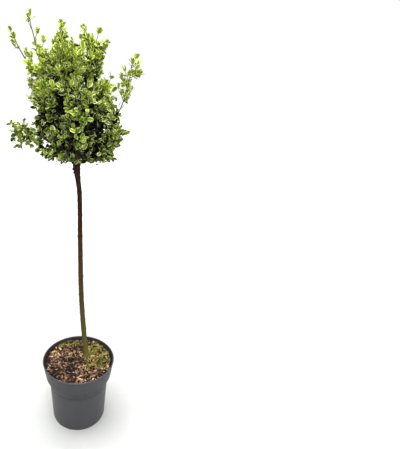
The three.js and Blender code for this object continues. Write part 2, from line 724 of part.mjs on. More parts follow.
/** A three-sided twig with its leaves, as one closed mesh, or null where too few leaves have room. */
function spray(stem, curve, look, taken) {
  const before = taken.leaves.length;
  const grown = whorls(stem, curve, look)
    .map((span) => ({ span, leaves: whorlLeaves(stem, curve, span, look, taken) }))
    .filter(({ leaves }) => leaves.length > 0);
  const tipWay = curve.getTangentAt(1).addScaledVector(UP, LEAF_TIP_LIFT);
  const tipRing = barkRing(curve, 1, look);
  const tipLeaf = leafWithRoom(stem, tipRing, tipWay, tipWay, [...look.keys, 90], taken);
  if (taken.leaves.length - before < look.least) {
    taken.leaves.length = before;
    return null;
  }
  taken.bars.push(...barPoints(curve));
  const stops = [0, ...grown.flatMap(({ span }) => span)];
  if (stops.at(-1) < 1) stops.push(1);
  const corners = stops.flatMap((t) => barkRing(curve, t, look));
  const faces = [[0, 2, 1]];
  for (let s = 0; s + 1 < stops.length; s++) {
    const leaves = grown.find(({ span }) => span[0] === stops[s])?.leaves ?? [];
    for (let i = 0; i < TWIG_SIDES; i++) {
      const next = (i + 1) % TWIG_SIDES;
      const [a, b, c, d] = [s * 3 + i, s * 3 + next, s * 3 + 3 + next, s * 3 + 3 + i];
      const leaf = leaves.find(([side]) => side === i);
      faces.push(...(leaf ? leafFaces(corners, [a, b, c], leaf[1]) : [[a, b, c]]), [a, c, d]);
    }
  }
  const last = (stops.length - 1) * 3;
  const tip = [last, last + 1, last + 2];
  faces.push(...(tipLeaf ? leafFaces(corners, tip, tipLeaf) : [tip]));
  const geometry = new THREE.BufferGeometry().setFromPoints(corners);
  geometry.setIndex(faces.flat());
  return geometry;
}

const TWIG_LOOK = {
  first: NODE_FIRST,
  most: NODES_MOST,
  radii: [TWIG_RADIUS, TWIG_TIP_RADIUS],
  least: LEAVES_LEAST,
};

/** One mass: its stem, core and twigs with their leaves, fused into one solid. */
function massSolid(stem) {
  const taken = { leaves: [], bars: [] };
  const first = (stem.shoot ? SHOOT_BARE : STEM_BARE) * stem.curve.getLength();
  const radii = [STEM_RADIUS, STEM_TIP_RADIUS];
  const stemLook = { first, most: Infinity, radii, least: 0, keys: [stem.number, 99] };
  let body = solid(spray(stem, stem.curve, stemLook, taken));
  if (!stem.shoot) {
    const ball = solid(coreBall(stem));
    body = body.add([...limbs.values()].reduce((core, limb) => core.subtract(limbCutter(limb)), ball));
  }
  const own = spots.filter((spot) => spot.number === stem.number);
  const twigs = own.map((spot) => [twigToSpot(stem, spot), spot.key]);
  for (let k = 0; k < (stem.shoot?.twigs ?? 0); k++) twigs.push([sideTwig(stem, k), k]);
  for (const [curve, key] of twigs) {
    const look = { ...TWIG_LOOK, keys: [stem.number, key] };
    const twig = curve && !crosses(curve, taken) && spray(stem, curve, look, taken);
    if (twig) body = body.add(solid(twig));
  }
  return body;
}

const spots = lightSpots();

// Pot and compost.

/** Outer radius of the pot's wall at a height: the body's cone, swelling into the collar's. */
function potRadius(height) {
  const body = THREE.MathUtils.lerp(POT_BASE_RADIUS, POT_SHOULDER_FOOT_RADIUS, height / POT_SHOULDER_FOOT);
  const rise = (height - POT_COLLAR_FOOT) / (POT_HEIGHT - POT_COLLAR_FOOT);
  const collar = THREE.MathUtils.lerp(POT_COLLAR_FOOT_RADIUS, POT_RIM_RADIUS - POT_LIP_PROUD, rise);
  return THREE.MathUtils.lerp(body, collar, ramp(height, POT_SHOULDER_FOOT, POT_COLLAR_FOOT));
}

/** Heights at which the wall's outline bends, from low to high. */
function wallHeights(bottom, top) {
  const step = (POT_COLLAR_FOOT - POT_SHOULDER_FOOT) / POT_SHOULDER_STEPS;
  const bends = Array.from({ length: POT_SHOULDER_STEPS + 1 }, (_, i) => POT_SHOULDER_FOOT + i * step);
  return [bottom, ...bends, top];
}

/** A round body from a profile of [radius, height] pairs. */
function turned(profile, sides) {
  const points = profile.map(([radius, height]) => new THREE.Vector2(radius, height));
  return new THREE.LatheGeometry(points, sides).rotateX(Math.PI / 2);
}

function potSolid() {
  const lipFoot = POT_HEIGHT - POT_LIP_DEPTH;
  const outside = wallHeights(POT_BASE_ROUND, lipFoot).map((height) => [potRadius(height), height]);
  const inside = wallHeights(POT_FLOOR, POT_HEIGHT).map((height) => [potRadius(height) - POT_WALL, height]);
  const profile = [
    [0, 0],
    [POT_BASE_RADIUS - POT_BASE_ROUND, 0],
    ...outside,
    [POT_RIM_RADIUS, lipFoot + POT_LIP_PROUD],
    [POT_RIM_RADIUS, POT_HEIGHT],
    ...inside.reverse(),
    [0, POT_FLOOR],
  ];
  let pot = solid(turned(profile, POT_SIDES));
  for (let i = 0; i < DRAIN_COUNT; i++) {
    const turn = 2 * Math.PI * i / DRAIN_COUNT;
    const drain = new THREE.CylinderGeometry(DRAIN_RADIUS, DRAIN_RADIUS, 4 * POT_FLOOR, DRAIN_SIDES);
    drain.rotateX(Math.PI / 2).translate(DRAIN_RING * Math.cos(turn), DRAIN_RING * Math.sin(turn), 0);
    pot = pot.subtract(solid(drain));
  }
  return pot;
}

/** Height of the compost's top: a low mound with lumps, level under the stem. */
function compostTop(x, y) {
  const out = Math.hypot(x, y) / POT_RIM_RADIUS;
  const lumps = Math.sin(x * 0.11 + 1) * Math.cos(y * 0.13) + 0.7 * Math.sin(x * 0.21 - y * 0.17 + 2);
  const free = COMPOST_EDGE + COMPOST_MOUND * (1 - out ** 2) + COMPOST_LUMP * lumps * (1 - out ** 4);
  const fromFoot = Math.hypot(x - FOOT[0], y - FOOT[1]);
  return THREE.MathUtils.lerp(FOOT[2] - GAP, free, ramp(fromFoot, SEAT_RADIUS, SEAT_RADIUS + SEAT_BLEND));
}

function compostGeometry() {
  const clear = POT_WALL + GAP;
  const heights = wallHeights(POT_FLOOR + GAP, COMPOST_EDGE);
  const wall = heights.map((height) => [potRadius(height) - clear, height]);
  const edge = wall.at(-1)[0];
  const rings = Array.from({ length: COMPOST_RINGS }, (_, i) => (
    [edge * (1 - (i + 1) / COMPOST_RINGS), COMPOST_EDGE]));
  const plug = turned([[0, POT_FLOOR + GAP], ...wall, ...rings], COMPOST_SIDES);
  const places = plug.attributes.position;
  for (let i = 0; i < places.count; i++) {
    if (places.getZ(i) > COMPOST_EDGE - 0.01) {
      places.setZ(i, compostTop(places.getX(i), places.getY(i)));
    }
  }
  return closed(plug);
}

// Scene graph.

const FINISHES = {
  pot: { color: 0x4c4c4f, roughness: 0.62, metalness: 0 },
  compost: { color: 0x5a4434, roughness: 0.95, metalness: 0 },
  bark: { color: 0x4a3a2a, roughness: 0.85, metalness: 0 },
  foliage: { color: 0x7f9c3a, roughness: 0.5, metalness: 0 },
};

function part(name, geometry, finish) {
  const mesh = new THREE.Mesh(geometry, new THREE.MeshStandardMaterial(FINISHES[finish]));
  mesh.name = name;
  mesh.geometry.computeVertexNormals();
  return mesh;
}

const topiary = new THREE.Group();
topiary.name = "standard_topiary";
topiary.add(part("pot", largestShell(potSolid()), "pot"));
topiary.add(part("compost", compostGeometry(), "compost"));
topiary.add(part("trunk", largestShell(trunkSolid(0)), "bark"));
for (const [name] of BOUGHS) {
  topiary.add(part(`bough_${name}`, largestShell(boughSolid(name)), "bark"));
}
for (const stem of stems) {
  topiary.add(part(`foliage_${stem.name}`, largestShell(massSolid(stem)), "foliage"));
}

export default topiary;
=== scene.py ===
"""Small standard of variegated evergreen spindle, growing in its round nursery pot.

Lengths are in millimetres until a mesh is made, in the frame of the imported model: +Z up, the
origin in the middle of the pot's flat underside, and -Y towards the front.
"""

import json
import logging
import math
from dataclasses import dataclass, field, replace
from enum import Enum
from functools import cached_property
from itertools import compress
from typing import Callable, NamedTuple

import bpy
import numpy as np
from bpy.types import Material, Node, NodeSocket, NodeTree, Object
from mathutils import Matrix, Vector, noise

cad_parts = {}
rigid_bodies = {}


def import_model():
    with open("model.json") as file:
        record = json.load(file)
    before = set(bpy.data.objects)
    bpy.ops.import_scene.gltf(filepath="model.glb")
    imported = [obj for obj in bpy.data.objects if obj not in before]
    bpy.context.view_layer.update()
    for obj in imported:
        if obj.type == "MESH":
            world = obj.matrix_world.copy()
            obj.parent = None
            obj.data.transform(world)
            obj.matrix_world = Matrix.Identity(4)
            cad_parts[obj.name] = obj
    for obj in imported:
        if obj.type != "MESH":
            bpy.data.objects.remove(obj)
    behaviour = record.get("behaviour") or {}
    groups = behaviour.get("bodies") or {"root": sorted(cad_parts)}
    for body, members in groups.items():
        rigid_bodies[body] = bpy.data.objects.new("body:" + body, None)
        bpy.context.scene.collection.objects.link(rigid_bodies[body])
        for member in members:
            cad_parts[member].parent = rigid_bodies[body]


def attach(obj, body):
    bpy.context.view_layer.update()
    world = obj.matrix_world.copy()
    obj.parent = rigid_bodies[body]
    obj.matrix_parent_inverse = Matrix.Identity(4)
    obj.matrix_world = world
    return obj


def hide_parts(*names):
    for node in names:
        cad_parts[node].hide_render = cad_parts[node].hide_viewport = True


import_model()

Array = np.ndarray
Span = tuple[float, float]
Series = tuple[float, ...]
Place = tuple[float, float, float]
Inputs = dict[int | str, object]

MM = 0.001
UP = np.array([0.0, 0.0, 1.0])
SEED = 9
FULL_TURN = 2 * math.pi
SQUARE_TURN = math.pi / 2
GOLDEN_ANGLE = math.radians(137.5)
BODY = "root"

report = logging.getLogger("topiary")


# Repeatable chance and small sums.


class Use(Enum):
    """What a source of chance is for, as the number that sets it apart from the others."""

    CHIPS = 1
    FIBRES = 2
    PALE_BITS = 3
    MOSS = 4
    STUBS = 5
    LEAF_SHAPES = 11
    GROWTH = 12


def new_draw(use: Use, number: int = 0) -> np.random.Generator:
    """Gives the repeatable source of chance for a use."""
    return np.random.default_rng(SEED + use.value + number)


def chance(*keys: int) -> float:
    """Gives a repeatable number for whole numbers, as the part's source does.

    Args:
        keys: Whole numbers that name what the chance is for.

    Returns:
        A number from 0 to 1.
    """
    mask = 0xFFFFFFFF
    h = SEED
    for key in keys:
        h = ((h ^ ((key + 0x7F4A7C15) & mask)) * 0x85EBCA6B) & mask
        h ^= h >> 13
        h = (h * 0xC2B2AE35) & mask
        h ^= h >> 16
    return h / 4294967296


def between(low: float, high: float, *keys: int) -> float:
    """Gives a repeatable number from low to high."""
    return low + (high - low) * chance(*keys)


def ramp(value: float | Array, low: float, high: float) -> float | Array:
    """Rises smoothly from 0 at low to 1 at high."""
    share = np.clip((value - low) / (high - low), 0.0, 1.0)
    return share * share * (3.0 - 2.0 * share)


def unit(vectors: Array) -> Array:
    """Scales vectors to length 1."""
    return vectors / np.maximum(np.linalg.norm(vectors, axis=-1, keepdims=True), 1e-9)


def square_to(way: Array) -> Array:
    """Gives a unit vector square to a direction, level where the direction isn't steep."""
    helper = UP if abs(way[2]) < 0.85 else np.array([1.0, 0.0, 0.0])
    return unit(np.cross(helper, way))


def turned(vector: Array, axis: Array, turn: float) -> Array:
    """Turns a vector about a unit axis by an angle in radians."""
    across = np.cross(axis, vector)
    return (vector * math.cos(turn) + across * math.sin(turn)
            + axis * np.dot(axis, vector) * (1.0 - math.cos(turn)))


def leaning(along: Array, side: Array, lean: float) -> Array:
    """Leans from one unit direction towards another, square to it, by an angle in radians."""
    return along * math.cos(lean) + side * math.sin(lean)


def rough(places: Array, size: float, seed: float = 0.0) -> Array:
    """Reads a smooth noise with lumps of a size, from about -1 to 1, at each of some places."""
    return np.array([noise.noise(Vector(place / size) + Vector((seed, 0.0, 0.0))) for place in places])


def linear(code: str) -> Series:
    """Turns an sRGB hex colour to linear red, green and blue, with an alpha of 1."""
    values = [int(code[i:i + 2], 16) / 255 for i in (0, 2, 4)]
    return *(v / 12.92 if v <= 0.04045 else ((v + 0.055) / 1.055) ** 2.4 for v in values), 1.0


# Courses of limbs and twigs.


@dataclass(frozen=True)
class Course:
    """A smooth line through space that is walked by shares of its length."""

    points: Array

    @cached_property
    def reach(self) -> Array:
        """Gives the distance walked at each of the points."""
        steps = np.linalg.norm(np.diff(self.points, axis=0), axis=1)
        return np.concatenate(([0.0], np.cumsum(steps)))

    @property
    def length(self) -> float:
        """Gives the whole length."""
        return float(self.reach[-1])

    def at(self, shares: float | Array) -> Array:
        """Gives the places at shares of the length."""
        walked = np.asarray(shares, dtype=float) * self.length
        return np.stack([np.interp(walked, self.reach, axis) for axis in self.points.T], axis=-1)

    def way(self, shares: float | Array) -> Array:
        """Gives the unit directions at shares of the length."""
        shares = np.asarray(shares, dtype=float)
        step = 0.004
        return unit(self.at(np.minimum(shares + step, 1.0)) - self.at(np.maximum(shares - step, 0.0)))

    def fork(self, share: float, turn: float) -> tuple[Array, Array, Array]:
        """Gives a place on the course, the way there, and the way square to it at a turn about it."""
        place, along = self.at(share), self.way(share)
        return place, along, turned(square_to(along), along, turn)


PULL = 0.36  # length of a course's handles, as a share of the distance that it spans


def bend(start: Array, leave: Array, end: Array, arrive: Array, detail: int = 200) -> Course:
    """Bends a limb from one place to another.

    Args:
        start: Place that it leaves.
        leave: Direction in which it leaves.
        end: Place that it reaches.
        arrive: Direction in which it arrives.
        detail: Number of short steps that the course is kept as.

    Returns:
        The course.
    """
    pull = PULL * float(np.linalg.norm(end - start))
    first, last = start + unit(leave) * pull, end - unit(arrive) * pull
    t = np.linspace(0.0, 1.0, detail + 1)[:, None]
    s = 1.0 - t
    return Course(s ** 3 * start + 3 * s ** 2 * t * first + 3 * s * t ** 2 * last + t ** 3 * end)


def through(places: Array, detail: int = 1200) -> Course:
    """Leads a course evenly through places, as the trunk's in the source does.

    Args:
        places: Places, one a row.
        detail: Number of short steps that the course is kept as.

    Returns:
        The course.
    """
    whole = np.vstack([2 * places[0] - places[1], places, 2 * places[-1] - places[-2]])
    last = len(places) - 1
    points = []
    for share in np.linspace(0.0, last, detail + 1):
        i = min(int(share), last - 1)
        t = share - i
        a, b, c, d = whole[i:i + 4]
        ab, bc, cd = (math.sqrt(np.linalg.norm(q - p)) for p, q in ((a, b), (b, c), (c, d)))
        leave = ((b - a) / ab - (c - a) / (ab + bc) + (c - b) / bc) * bc
        arrive = ((c - b) / bc - (d - b) / (bc + cd) + (d - c) / cd) * bc
        points.append(b + leave * t + (3 * (c - b) - 2 * leave - arrive) * t ** 2
                      + (2 * (b - c) + leave + arrive) * t ** 3)
    return Course(np.array(points))


# Meshes made from arrays.


class Body(NamedTuple):
    """Corners and faces of one small body."""

    corners: Array
    quads: Array
    triangles: Array


@dataclass
class Pile:
    """Many small bodies that are gathered into one mesh."""

    corners: list[Array] = field(default_factory=list)
    faces: list[Array] = field(default_factory=list)
    finishes: list[Array] = field(default_factory=list)
    count: int = 0

    def add(self, body: Body, quad_finish: int | Array = 0, triangle_finish: int | Array = 0) -> "Pile":
        """Adds a body, or many that share one numbering of corners.

        Args:
            body: The body's corners in millimetres, and its faces.
            quad_finish: Number of the finish of the four-sided faces.
            triangle_finish: Number of the finish of the three-sided faces.

        Returns:
            The pile.
        """
        for faces, finish in ((body.quads, quad_finish), (body.triangles, triangle_finish)):
            if len(faces):
                self.faces.append(faces + self.count)
                self.finishes.append(np.broadcast_to(np.asarray(finish), (len(faces),)))
        self.corners.append(body.corners)
        self.count += len(body.corners)
        return self

    def piece(self, name: str, materials: list[Material], smooth: bool = True) -> Object:
        """Makes the object.

        Args:
            name: Name of the piece.
            materials: Its materials, in the order of the finish numbers.
            smooth: Whether its faces are shaded as one smooth skin.

        Returns:
            The object, which rides on the body.
        """
        corners = np.concatenate(self.corners) * MM
        loops = np.concatenate([faces.ravel() for faces in self.faces])
        sizes = np.concatenate([np.full(len(faces), faces.shape[1]) for faces in self.faces])
        mesh = bpy.data.meshes.new(name)
        mesh.vertices.add(len(corners))
        mesh.vertices.foreach_set("co", corners.ravel())
        mesh.loops.add(len(loops))
        mesh.loops.foreach_set("vertex_index", loops.astype(np.int32))
        mesh.polygons.add(len(sizes))
        starts = np.concatenate(([0], np.cumsum(sizes)[:-1]))
        mesh.polygons.foreach_set("loop_start", starts.astype(np.int32))
        mesh.polygons.foreach_set("material_index", np.concatenate(self.finishes).astype(np.int32))
        mesh.polygons.foreach_set("use_smooth", np.full(len(sizes), smooth))
        for material in materials:
            mesh.materials.append(material)
        mesh.update(calc_edges=True)
        mesh.validate()
        made = bpy.data.objects.new(name, mesh)
        bpy.context.scene.collection.objects.link(made)
        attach(made, BODY)
        report.info("%s: %d corners, %d faces", name, len(corners), len(sizes))
        return made


def tube_faces(rings: int, sides: int) -> tuple[Array, Array]:
    """Numbers the faces of a closed tube, whose two end middles come after its rings of corners.

    Args:
        rings: Number of rings.
        sides: Number of sides.

    Returns:
        The wall's four-sided faces, and the triangles that close both ends.
    """
    ring, side = np.meshgrid(np.arange(rings - 1), np.arange(sides), indexing="ij")
    ahead = (side + 1) % sides
    quads = np.stack([ring * sides + side, ring * sides + ahead,
                      (ring + 1) * sides + ahead, (ring + 1) * sides + side], axis=-1)
    loop = np.arange(sides)
    foot = np.stack([np.roll(loop, -1), loop, np.full(sides, rings * sides)], axis=-1)
    top = np.stack([loop, np.roll(loop, -1), np.full(sides, rings * sides + 1)], axis=-1)
    top[:, :2] += (rings - 1) * sides
    return quads.reshape(-1, 4), np.concatenate([foot, top])


def bar(points: Array, radii: Array, sides: int, relief: float | Array = 0.0) -> Body:
    """Makes a round bar along points, closed at both ends.

    Args:
        points: Middle of each ring.
        radii: Radius of each ring.
        sides: Number of sides.
        relief: Heights that stand out of the round surface, one row a ring.

    Returns:
        The bar.
    """
    ways = unit(np.gradient(points, axis=0))
    across = [square_to(ways[0])]
    for way in ways[1:]:
        across.append(unit(across[-1] - way * np.dot(across[-1], way)))
    first = np.array(across)
    second = np.cross(ways, first)
    turns = FULL_TURN * np.arange(sides) / sides
    out = first[:, None] * np.cos(turns)[None, :, None] + second[:, None] * np.sin(turns)[None, :, None]
    skin = points[:, None] + out * (np.asarray(radii, dtype=float)[:, None] + relief)[..., None]
    return Body(np.vstack([skin.reshape(-1, 3), points[:1], points[-1:]]), *tube_faces(len(points), sides))


def lathe(profile: Array, sides: int) -> Body:
    """Turns a profile about the upright axis.

    Args:
        profile: Radius and height of each point, from the foot on the axis to the end on it.
        sides: Number of sides.

    Returns:
        The turned body.
    """
    turns = FULL_TURN * np.arange(sides) / sides
    inner = profile[1:-1]
    skin = np.stack([inner[:, :1] * np.cos(turns), inner[:, :1] * np.sin(turns),
                     np.repeat(inner[:, 1:], sides, axis=1)], axis=-1)
    ends = np.array([[0.0, 0.0, profile[0, 1]], [0.0, 0.0, profile[-1, 1]]])
    return Body(np.vstack([skin.reshape(-1, 3), ends]), *tube_faces(len(inner), sides))


# Materials.


def feed(node: Node, inputs: Inputs) -> None:
    """Links outputs to a node's inputs, and sets any other value on the input itself.

    Args:
        node: The node.
        inputs: Values of its inputs, or the outputs that feed them, by name.
    """
    for name, value in inputs.items():
        if isinstance(value, NodeSocket):
            node.id_data.links.new(value, node.inputs[name])
        else:
            node.inputs[name].default_value = value


def add_node(tree: NodeTree, kind: str, inputs: Inputs | None = None, output: int | str = 0,
             **settings: object) -> NodeSocket:
    """Adds a node with its settings and links.

    Args:
        tree: Node tree that it joins.
        kind: Blender's name of the node's kind, after "ShaderNode".
        inputs: Values of its inputs, or the outputs that feed them, by name.
        output: Name or number of the output that is read.
        settings: Properties of the node.

    Returns:
        That output.
    """
    made = tree.nodes.new("ShaderNode" + kind)
    for name, value in settings.items():
        setattr(made, name, value)
    feed(made, inputs or {})
    return made.outputs[output]


class Surface(NamedTuple):
    """A new material with the nodes that every finish starts from."""

    material: Material
    tree: NodeTree
    shader: Node
    place: NodeSocket


def new_surface(name: str, roughness: float, ior: float) -> Surface:
    """Starts a non-metal material.

    Args:
        name: Name of the material.
        roughness: Its roughness.
        ior: Its refractive index.

    Returns:
        The material, its tree, its shader and the place on the object.
    """
    material = bpy.data.materials.new(name)
    material.use_nodes = True
    tree = material.node_tree
    shader = tree.nodes["Principled BSDF"]
    feed(shader, {"Roughness": roughness, "IOR": ior, "Metallic": 0.0})
    return Surface(material, tree, shader, add_node(tree, "TexCoord", output="Object"))


def per_metre(size: float) -> float:
    """Gives the scale of a pattern whose lumps have a size in millimetres."""
    return 1.0 / (size * MM)


@dataclass(frozen=True)
class MouldedPolypropylene:
    """Blow-moulded black polypropylene pot: a matt dark slate skin, dusty and scuffed in places, with painted
    shade over its shoulder.
    """

    name: str = "moulded_polypropylene"
    skin: str = "464649"
    dust: str = "505053"
    roughness: float = 0.5
    shine: float = 0.46
    shoulder_painted_shade: str = "3e3e41"  # painted shade: the shoulder's colour is darkened, and the shoulder is more matt
    shade_and_dull_heights: Series = (0.104, 0.114, 0.132, 0.142)  # in metres: fades in, fades out
    collar_shade_and_dull_share: float = 0.4
    dulling: float = 0.11
    ior: float = 1.49
    cloud_size: float = 26.0
    scuff_size: float = 3.5
    dust_limits: Span = (0.2, 0.42)
    gloss_stray: Span = (-0.06, 0.12)
    grain_size: float = 0.9  # the mould's fine grain is about 0.2 mm, drawn coarser so that it shows
    grain_bump: float = 0.12
    grain_depth: float = 0.2

    def make(self) -> Material:
        """Makes the material.

        Returns:
            The material.
        """
        surface = new_surface(self.name, self.roughness, self.ior)
        tree, place = surface.tree, surface.place
        height = add_node(tree, "SeparateXYZ", {"Vector": place}, output="Z")
        foot, full, fading, top = self.shade_and_dull_heights
        under = add_node(tree, "MapRange", {"Value": height, "From Min": foot, "From Max": full},
                         interpolation_type="SMOOTHSTEP")
        over = add_node(tree, "MapRange", {
            "Value": height, "From Min": fading, "From Max": top,
            "To Min": 1.0, "To Max": self.collar_shade_and_dull_share}, interpolation_type="SMOOTHSTEP")
        # painted shade: over the shoulder band, and less over the collar, the skin darkens towards the
        # shoulder colour and turns more matt
        shade_and_dull = add_node(tree, "Math", {0: under, 1: over}, operation="MULTIPLY")
        cloud = add_node(tree, "TexNoise", {
            "Vector": place, "Scale": per_metre(self.cloud_size), "Detail": 4.0, "Roughness": 0.6})
        scuff = add_node(tree, "TexNoise", {
            "Vector": place, "Scale": per_metre(self.scuff_size), "Detail": 3.0, "Roughness": 0.7})
        amount = add_node(tree, "Math", {0: cloud, 1: scuff}, operation="MULTIPLY")
        clean, covered = self.dust_limits
        dusty = add_node(tree, "MapRange", {"Value": amount, "From Min": clean, "From Max": covered})
        colour = add_node(tree, "Mix", {
            "Factor": dusty, "A": linear(self.skin), "B": linear(self.dust)},
            output="Result", data_type="RGBA")
        low, high = (self.roughness + stray for stray in self.gloss_stray)
        gloss = add_node(tree, "MapRange", {"Value": dusty, "To Min": low, "To Max": high})
        duller = add_node(tree, "Math", {0: shade_and_dull, 1: self.dulling, 2: gloss}, operation="MULTIPLY_ADD")
        painted_shade_colour = add_node(tree, "Mix", {
            "Factor": shade_and_dull, "A": colour, "B": linear(self.shoulder_painted_shade)},
            output="Result", data_type="RGBA")
        grain = add_node(tree, "TexNoise", {
            "Vector": place, "Scale": per_metre(self.grain_size), "Detail": 2.0})
        bump = add_node(tree, "Bump", {
            "Height": grain, "Strength": self.grain_bump, "Distance": self.grain_depth * MM})
        feed(surface.shader, {"Base Color": painted_shade_colour, "Roughness": duller,
                              "Normal": bump, "Specular IOR Level": self.shine})
        return surface.material


@dataclass(frozen=True)
class Crumbled:
    """Rough, crumbly or fibrous matter such as bark compost: two browns in small grains, quite matt."""

    name: str
    dark: str
    light: str
    grain_size: float
    low: float = 0.42
    high: float = 0.62
    bump: float = 0.6
    depth: float = 0.8
    roughness: float = 0.92
    ior: float = 1.4

    def make(self) -> Material:
        """Makes the material.

        Returns:
            The material.
        """
        surface = new_surface(self.name, self.roughness, self.ior)
        tree = surface.tree
        grain = add_node(tree, "TexNoise", {
            "Vector": surface.place, "Scale": per_metre(self.grain_size), "Detail": 5.0, "Roughness": 0.65})
        share = add_node(tree, "MapRange", {"Value": grain, "From Min": self.low, "From Max": self.high})
        colour = add_node(tree, "Mix", {
            "Factor": share, "A": linear(self.dark), "B": linear(self.light)},
            output="Result", data_type="RGBA")
        bump = add_node(tree, "Bump", {
            "Height": grain, "Strength": self.bump, "Distance": self.depth * MM})
        feed(surface.shader, {"Base Color": colour, "Normal": bump})
        return surface.material


@dataclass(frozen=True)
class StemBark:
    """Young bark of a spindle stem: corky and dark brown above, olive green below."""

    name: str = "stem_bark"
    foot: str = "6c6830"
    middle: str = "4e4324"
    top: str = "30190e"
    cork: str = "6f5d42"
    foot_height: float = 230.0
    top_height: float = 650.0
    roughness: float = 0.85
    ior: float = 1.45
    shine: float = 0.2
    streak_size: float = 1.6  # fine corky streaks, about three times as long as wide
    streak_squeeze: float = 0.3
    cork_limits: Span = (0.52, 0.75)
    cork_share: float = 0.55
    middle_at: float = 0.45
    patch_size: float = 14.0
    patch_stray: float = 120.0
    bump: float = 0.7
    depth: float = 0.6

    def make(self) -> Material:
        """Makes the material.

        Returns:
            The material.
        """
        surface = new_surface(self.name, self.roughness, self.ior)
        tree, place = surface.tree, surface.place
        height = add_node(tree, "SeparateXYZ", {"Vector": place}, output="Z")
        patch = add_node(tree, "TexNoise", {
            "Vector": place, "Scale": per_metre(self.patch_size), "Detail": 4.0})
        stray = add_node(tree, "Math", {
            0: patch, 1: self.patch_stray * MM, 2: height}, operation="MULTIPLY_ADD")
        share = add_node(tree, "MapRange", {
            "Value": stray, "From Min": self.foot_height * MM, "From Max": self.top_height * MM})
        scale = add_node(tree, "ValToRGB", {"Fac": share})
        stops = scale.node.color_ramp.elements
        stops[0].color, stops[1].color = linear(self.foot), linear(self.top)
        stops.new(self.middle_at).color = linear(self.middle)
        squeezed = add_node(tree, "Mapping", {"Vector": place, "Scale": (1.0, 1.0, self.streak_squeeze)})
        streak = add_node(tree, "TexNoise", {
            "Vector": squeezed, "Scale": per_metre(self.streak_size), "Detail": 4.0})
        low, high = self.cork_limits
        corky = add_node(tree, "MapRange", {
            "Value": streak, "From Min": low, "From Max": high, "To Max": self.cork_share})
        colour = add_node(tree, "Mix", {
            "Factor": corky, "A": scale, "B": linear(self.cork)},
            output="Result", data_type="RGBA")
        bump = add_node(tree, "Bump", {
            "Height": streak, "Strength": self.bump, "Distance": self.depth * MM})
        feed(surface.shader, {"Base Color": colour, "Normal": bump, "Specular IOR Level": self.shine})
        return surface.material


@dataclass(frozen=True)
class LeafSkin:
    """Waxy skin of an evergreen leaf: a soft gloss over one plain colour, finely dimpled."""

    name: str
    colour: str
    roughness: float = 0.34
    ior: float = 1.45
    shine: float = 0.28
    dimple_size: float = 1.2
    gloss_stray: Span = (-0.1, 0.15)
    bump: float = 0.3
    depth: float = 0.3

    def make(self) -> Material:
        """Makes the material.

        Returns:
            The material.
        """
        surface = new_surface(self.name, self.roughness, self.ior)
        tree = surface.tree
        surface.material.diffuse_color = linear(self.colour)
        dimple = add_node(tree, "TexNoise", {
            "Vector": surface.place, "Scale": per_metre(self.dimple_size), "Detail": 2.0})
        low, high = (self.roughness + stray for stray in self.gloss_stray)
        gloss = add_node(tree, "MapRange", {"Value": dimple, "To Min": low, "To Max": high})
        bump = add_node(tree, "Bump", {
            "Height": dimple, "Strength": self.bump, "Distance": self.depth * MM})
        feed(surface.shader, {"Base Color": linear(self.colour), "Specular IOR Level": self.shine,
                              "Roughness": gloss, "Normal": bump})
        return surface.material


@dataclass(frozen=True)
class PaintedBoard:
    """Matt painted board: a pale grey, hardly mottled, that brightens into the backdrop far out."""

    name: str = "painted_board"
    paint: str = "c6c7c5"
    pale_paint: str = "cecfcd"
    mottle_size: float = 60.0
    roughness: float = 0.9
    ior: float = 1.45
    glow_start: float = 500.0
    glow_full: float = 2200.0

    def make(self) -> Material:
        """Makes the material.

        Returns:
            The material.
        """
        surface = new_surface(self.name, self.roughness, self.ior)
        tree = surface.tree
        mottle = add_node(tree, "TexNoise", {
            "Vector": surface.place, "Scale": per_metre(self.mottle_size), "Detail": 3.0})
        colour = add_node(tree, "Mix", {
            "Factor": mottle, "A": linear(self.paint), "B": linear(self.pale_paint)},
            output="Result", data_type="RGBA")
        away = add_node(tree, "VectorMath", {0: surface.place}, output="Value", operation="LENGTH")
        glow = add_node(tree, "MapRange", {
            "Value": away, "From Min": self.glow_start * MM, "From Max": self.glow_full * MM},
            interpolation_type="SMOOTHSTEP")
        feed(surface.shader, {"Base Color": colour, "Emission Color": linear("ffffff"),
                              "Emission Strength": glow})
        return surface.material


class Tone(Enum):
    """Leaf tones, painted light and shade: from young growth lit outside and on top to old leaves in painted
    shade inside the crown.
    """

    LIME = 0
    YELLOW_GREEN = 1
    MEADOW = 2
    DEEP = 3
    SHADED = 4


class Zone(Enum):
    """Parts of a variegated leaf."""

    CENTRE = 0
    BODY = 1
    MARGIN = 2


# centre, body and margin of each tone; the tones are painted light and shade, down to near-black painted
# shade
LEAF_COLOURS = {
    Tone.LIME: ("829a10", "b0c420", "fbf8c8"),
    Tone.YELLOW_GREEN: ("5e820a", "88a610", "f7f3b8"),
    Tone.MEADOW: ("3c5c04", "628008", "f0eba8"),
    Tone.DEEP: ("1c2e04", "344a06", "dedb94"),
    Tone.SHADED: ("060902", "0c1002", "2a2c12"),
}


def leaf_materials() -> list[Material]:
    """Makes the materials of all leaves, by tone and then by zone, in the order of their numbers."""
    return [LeafSkin(f"leaf_{tone.name}_{zone.name}".lower(), LEAF_COLOURS[tone][zone.value]).make()
            for tone in Tone for zone in Zone]


# Pot and compost.


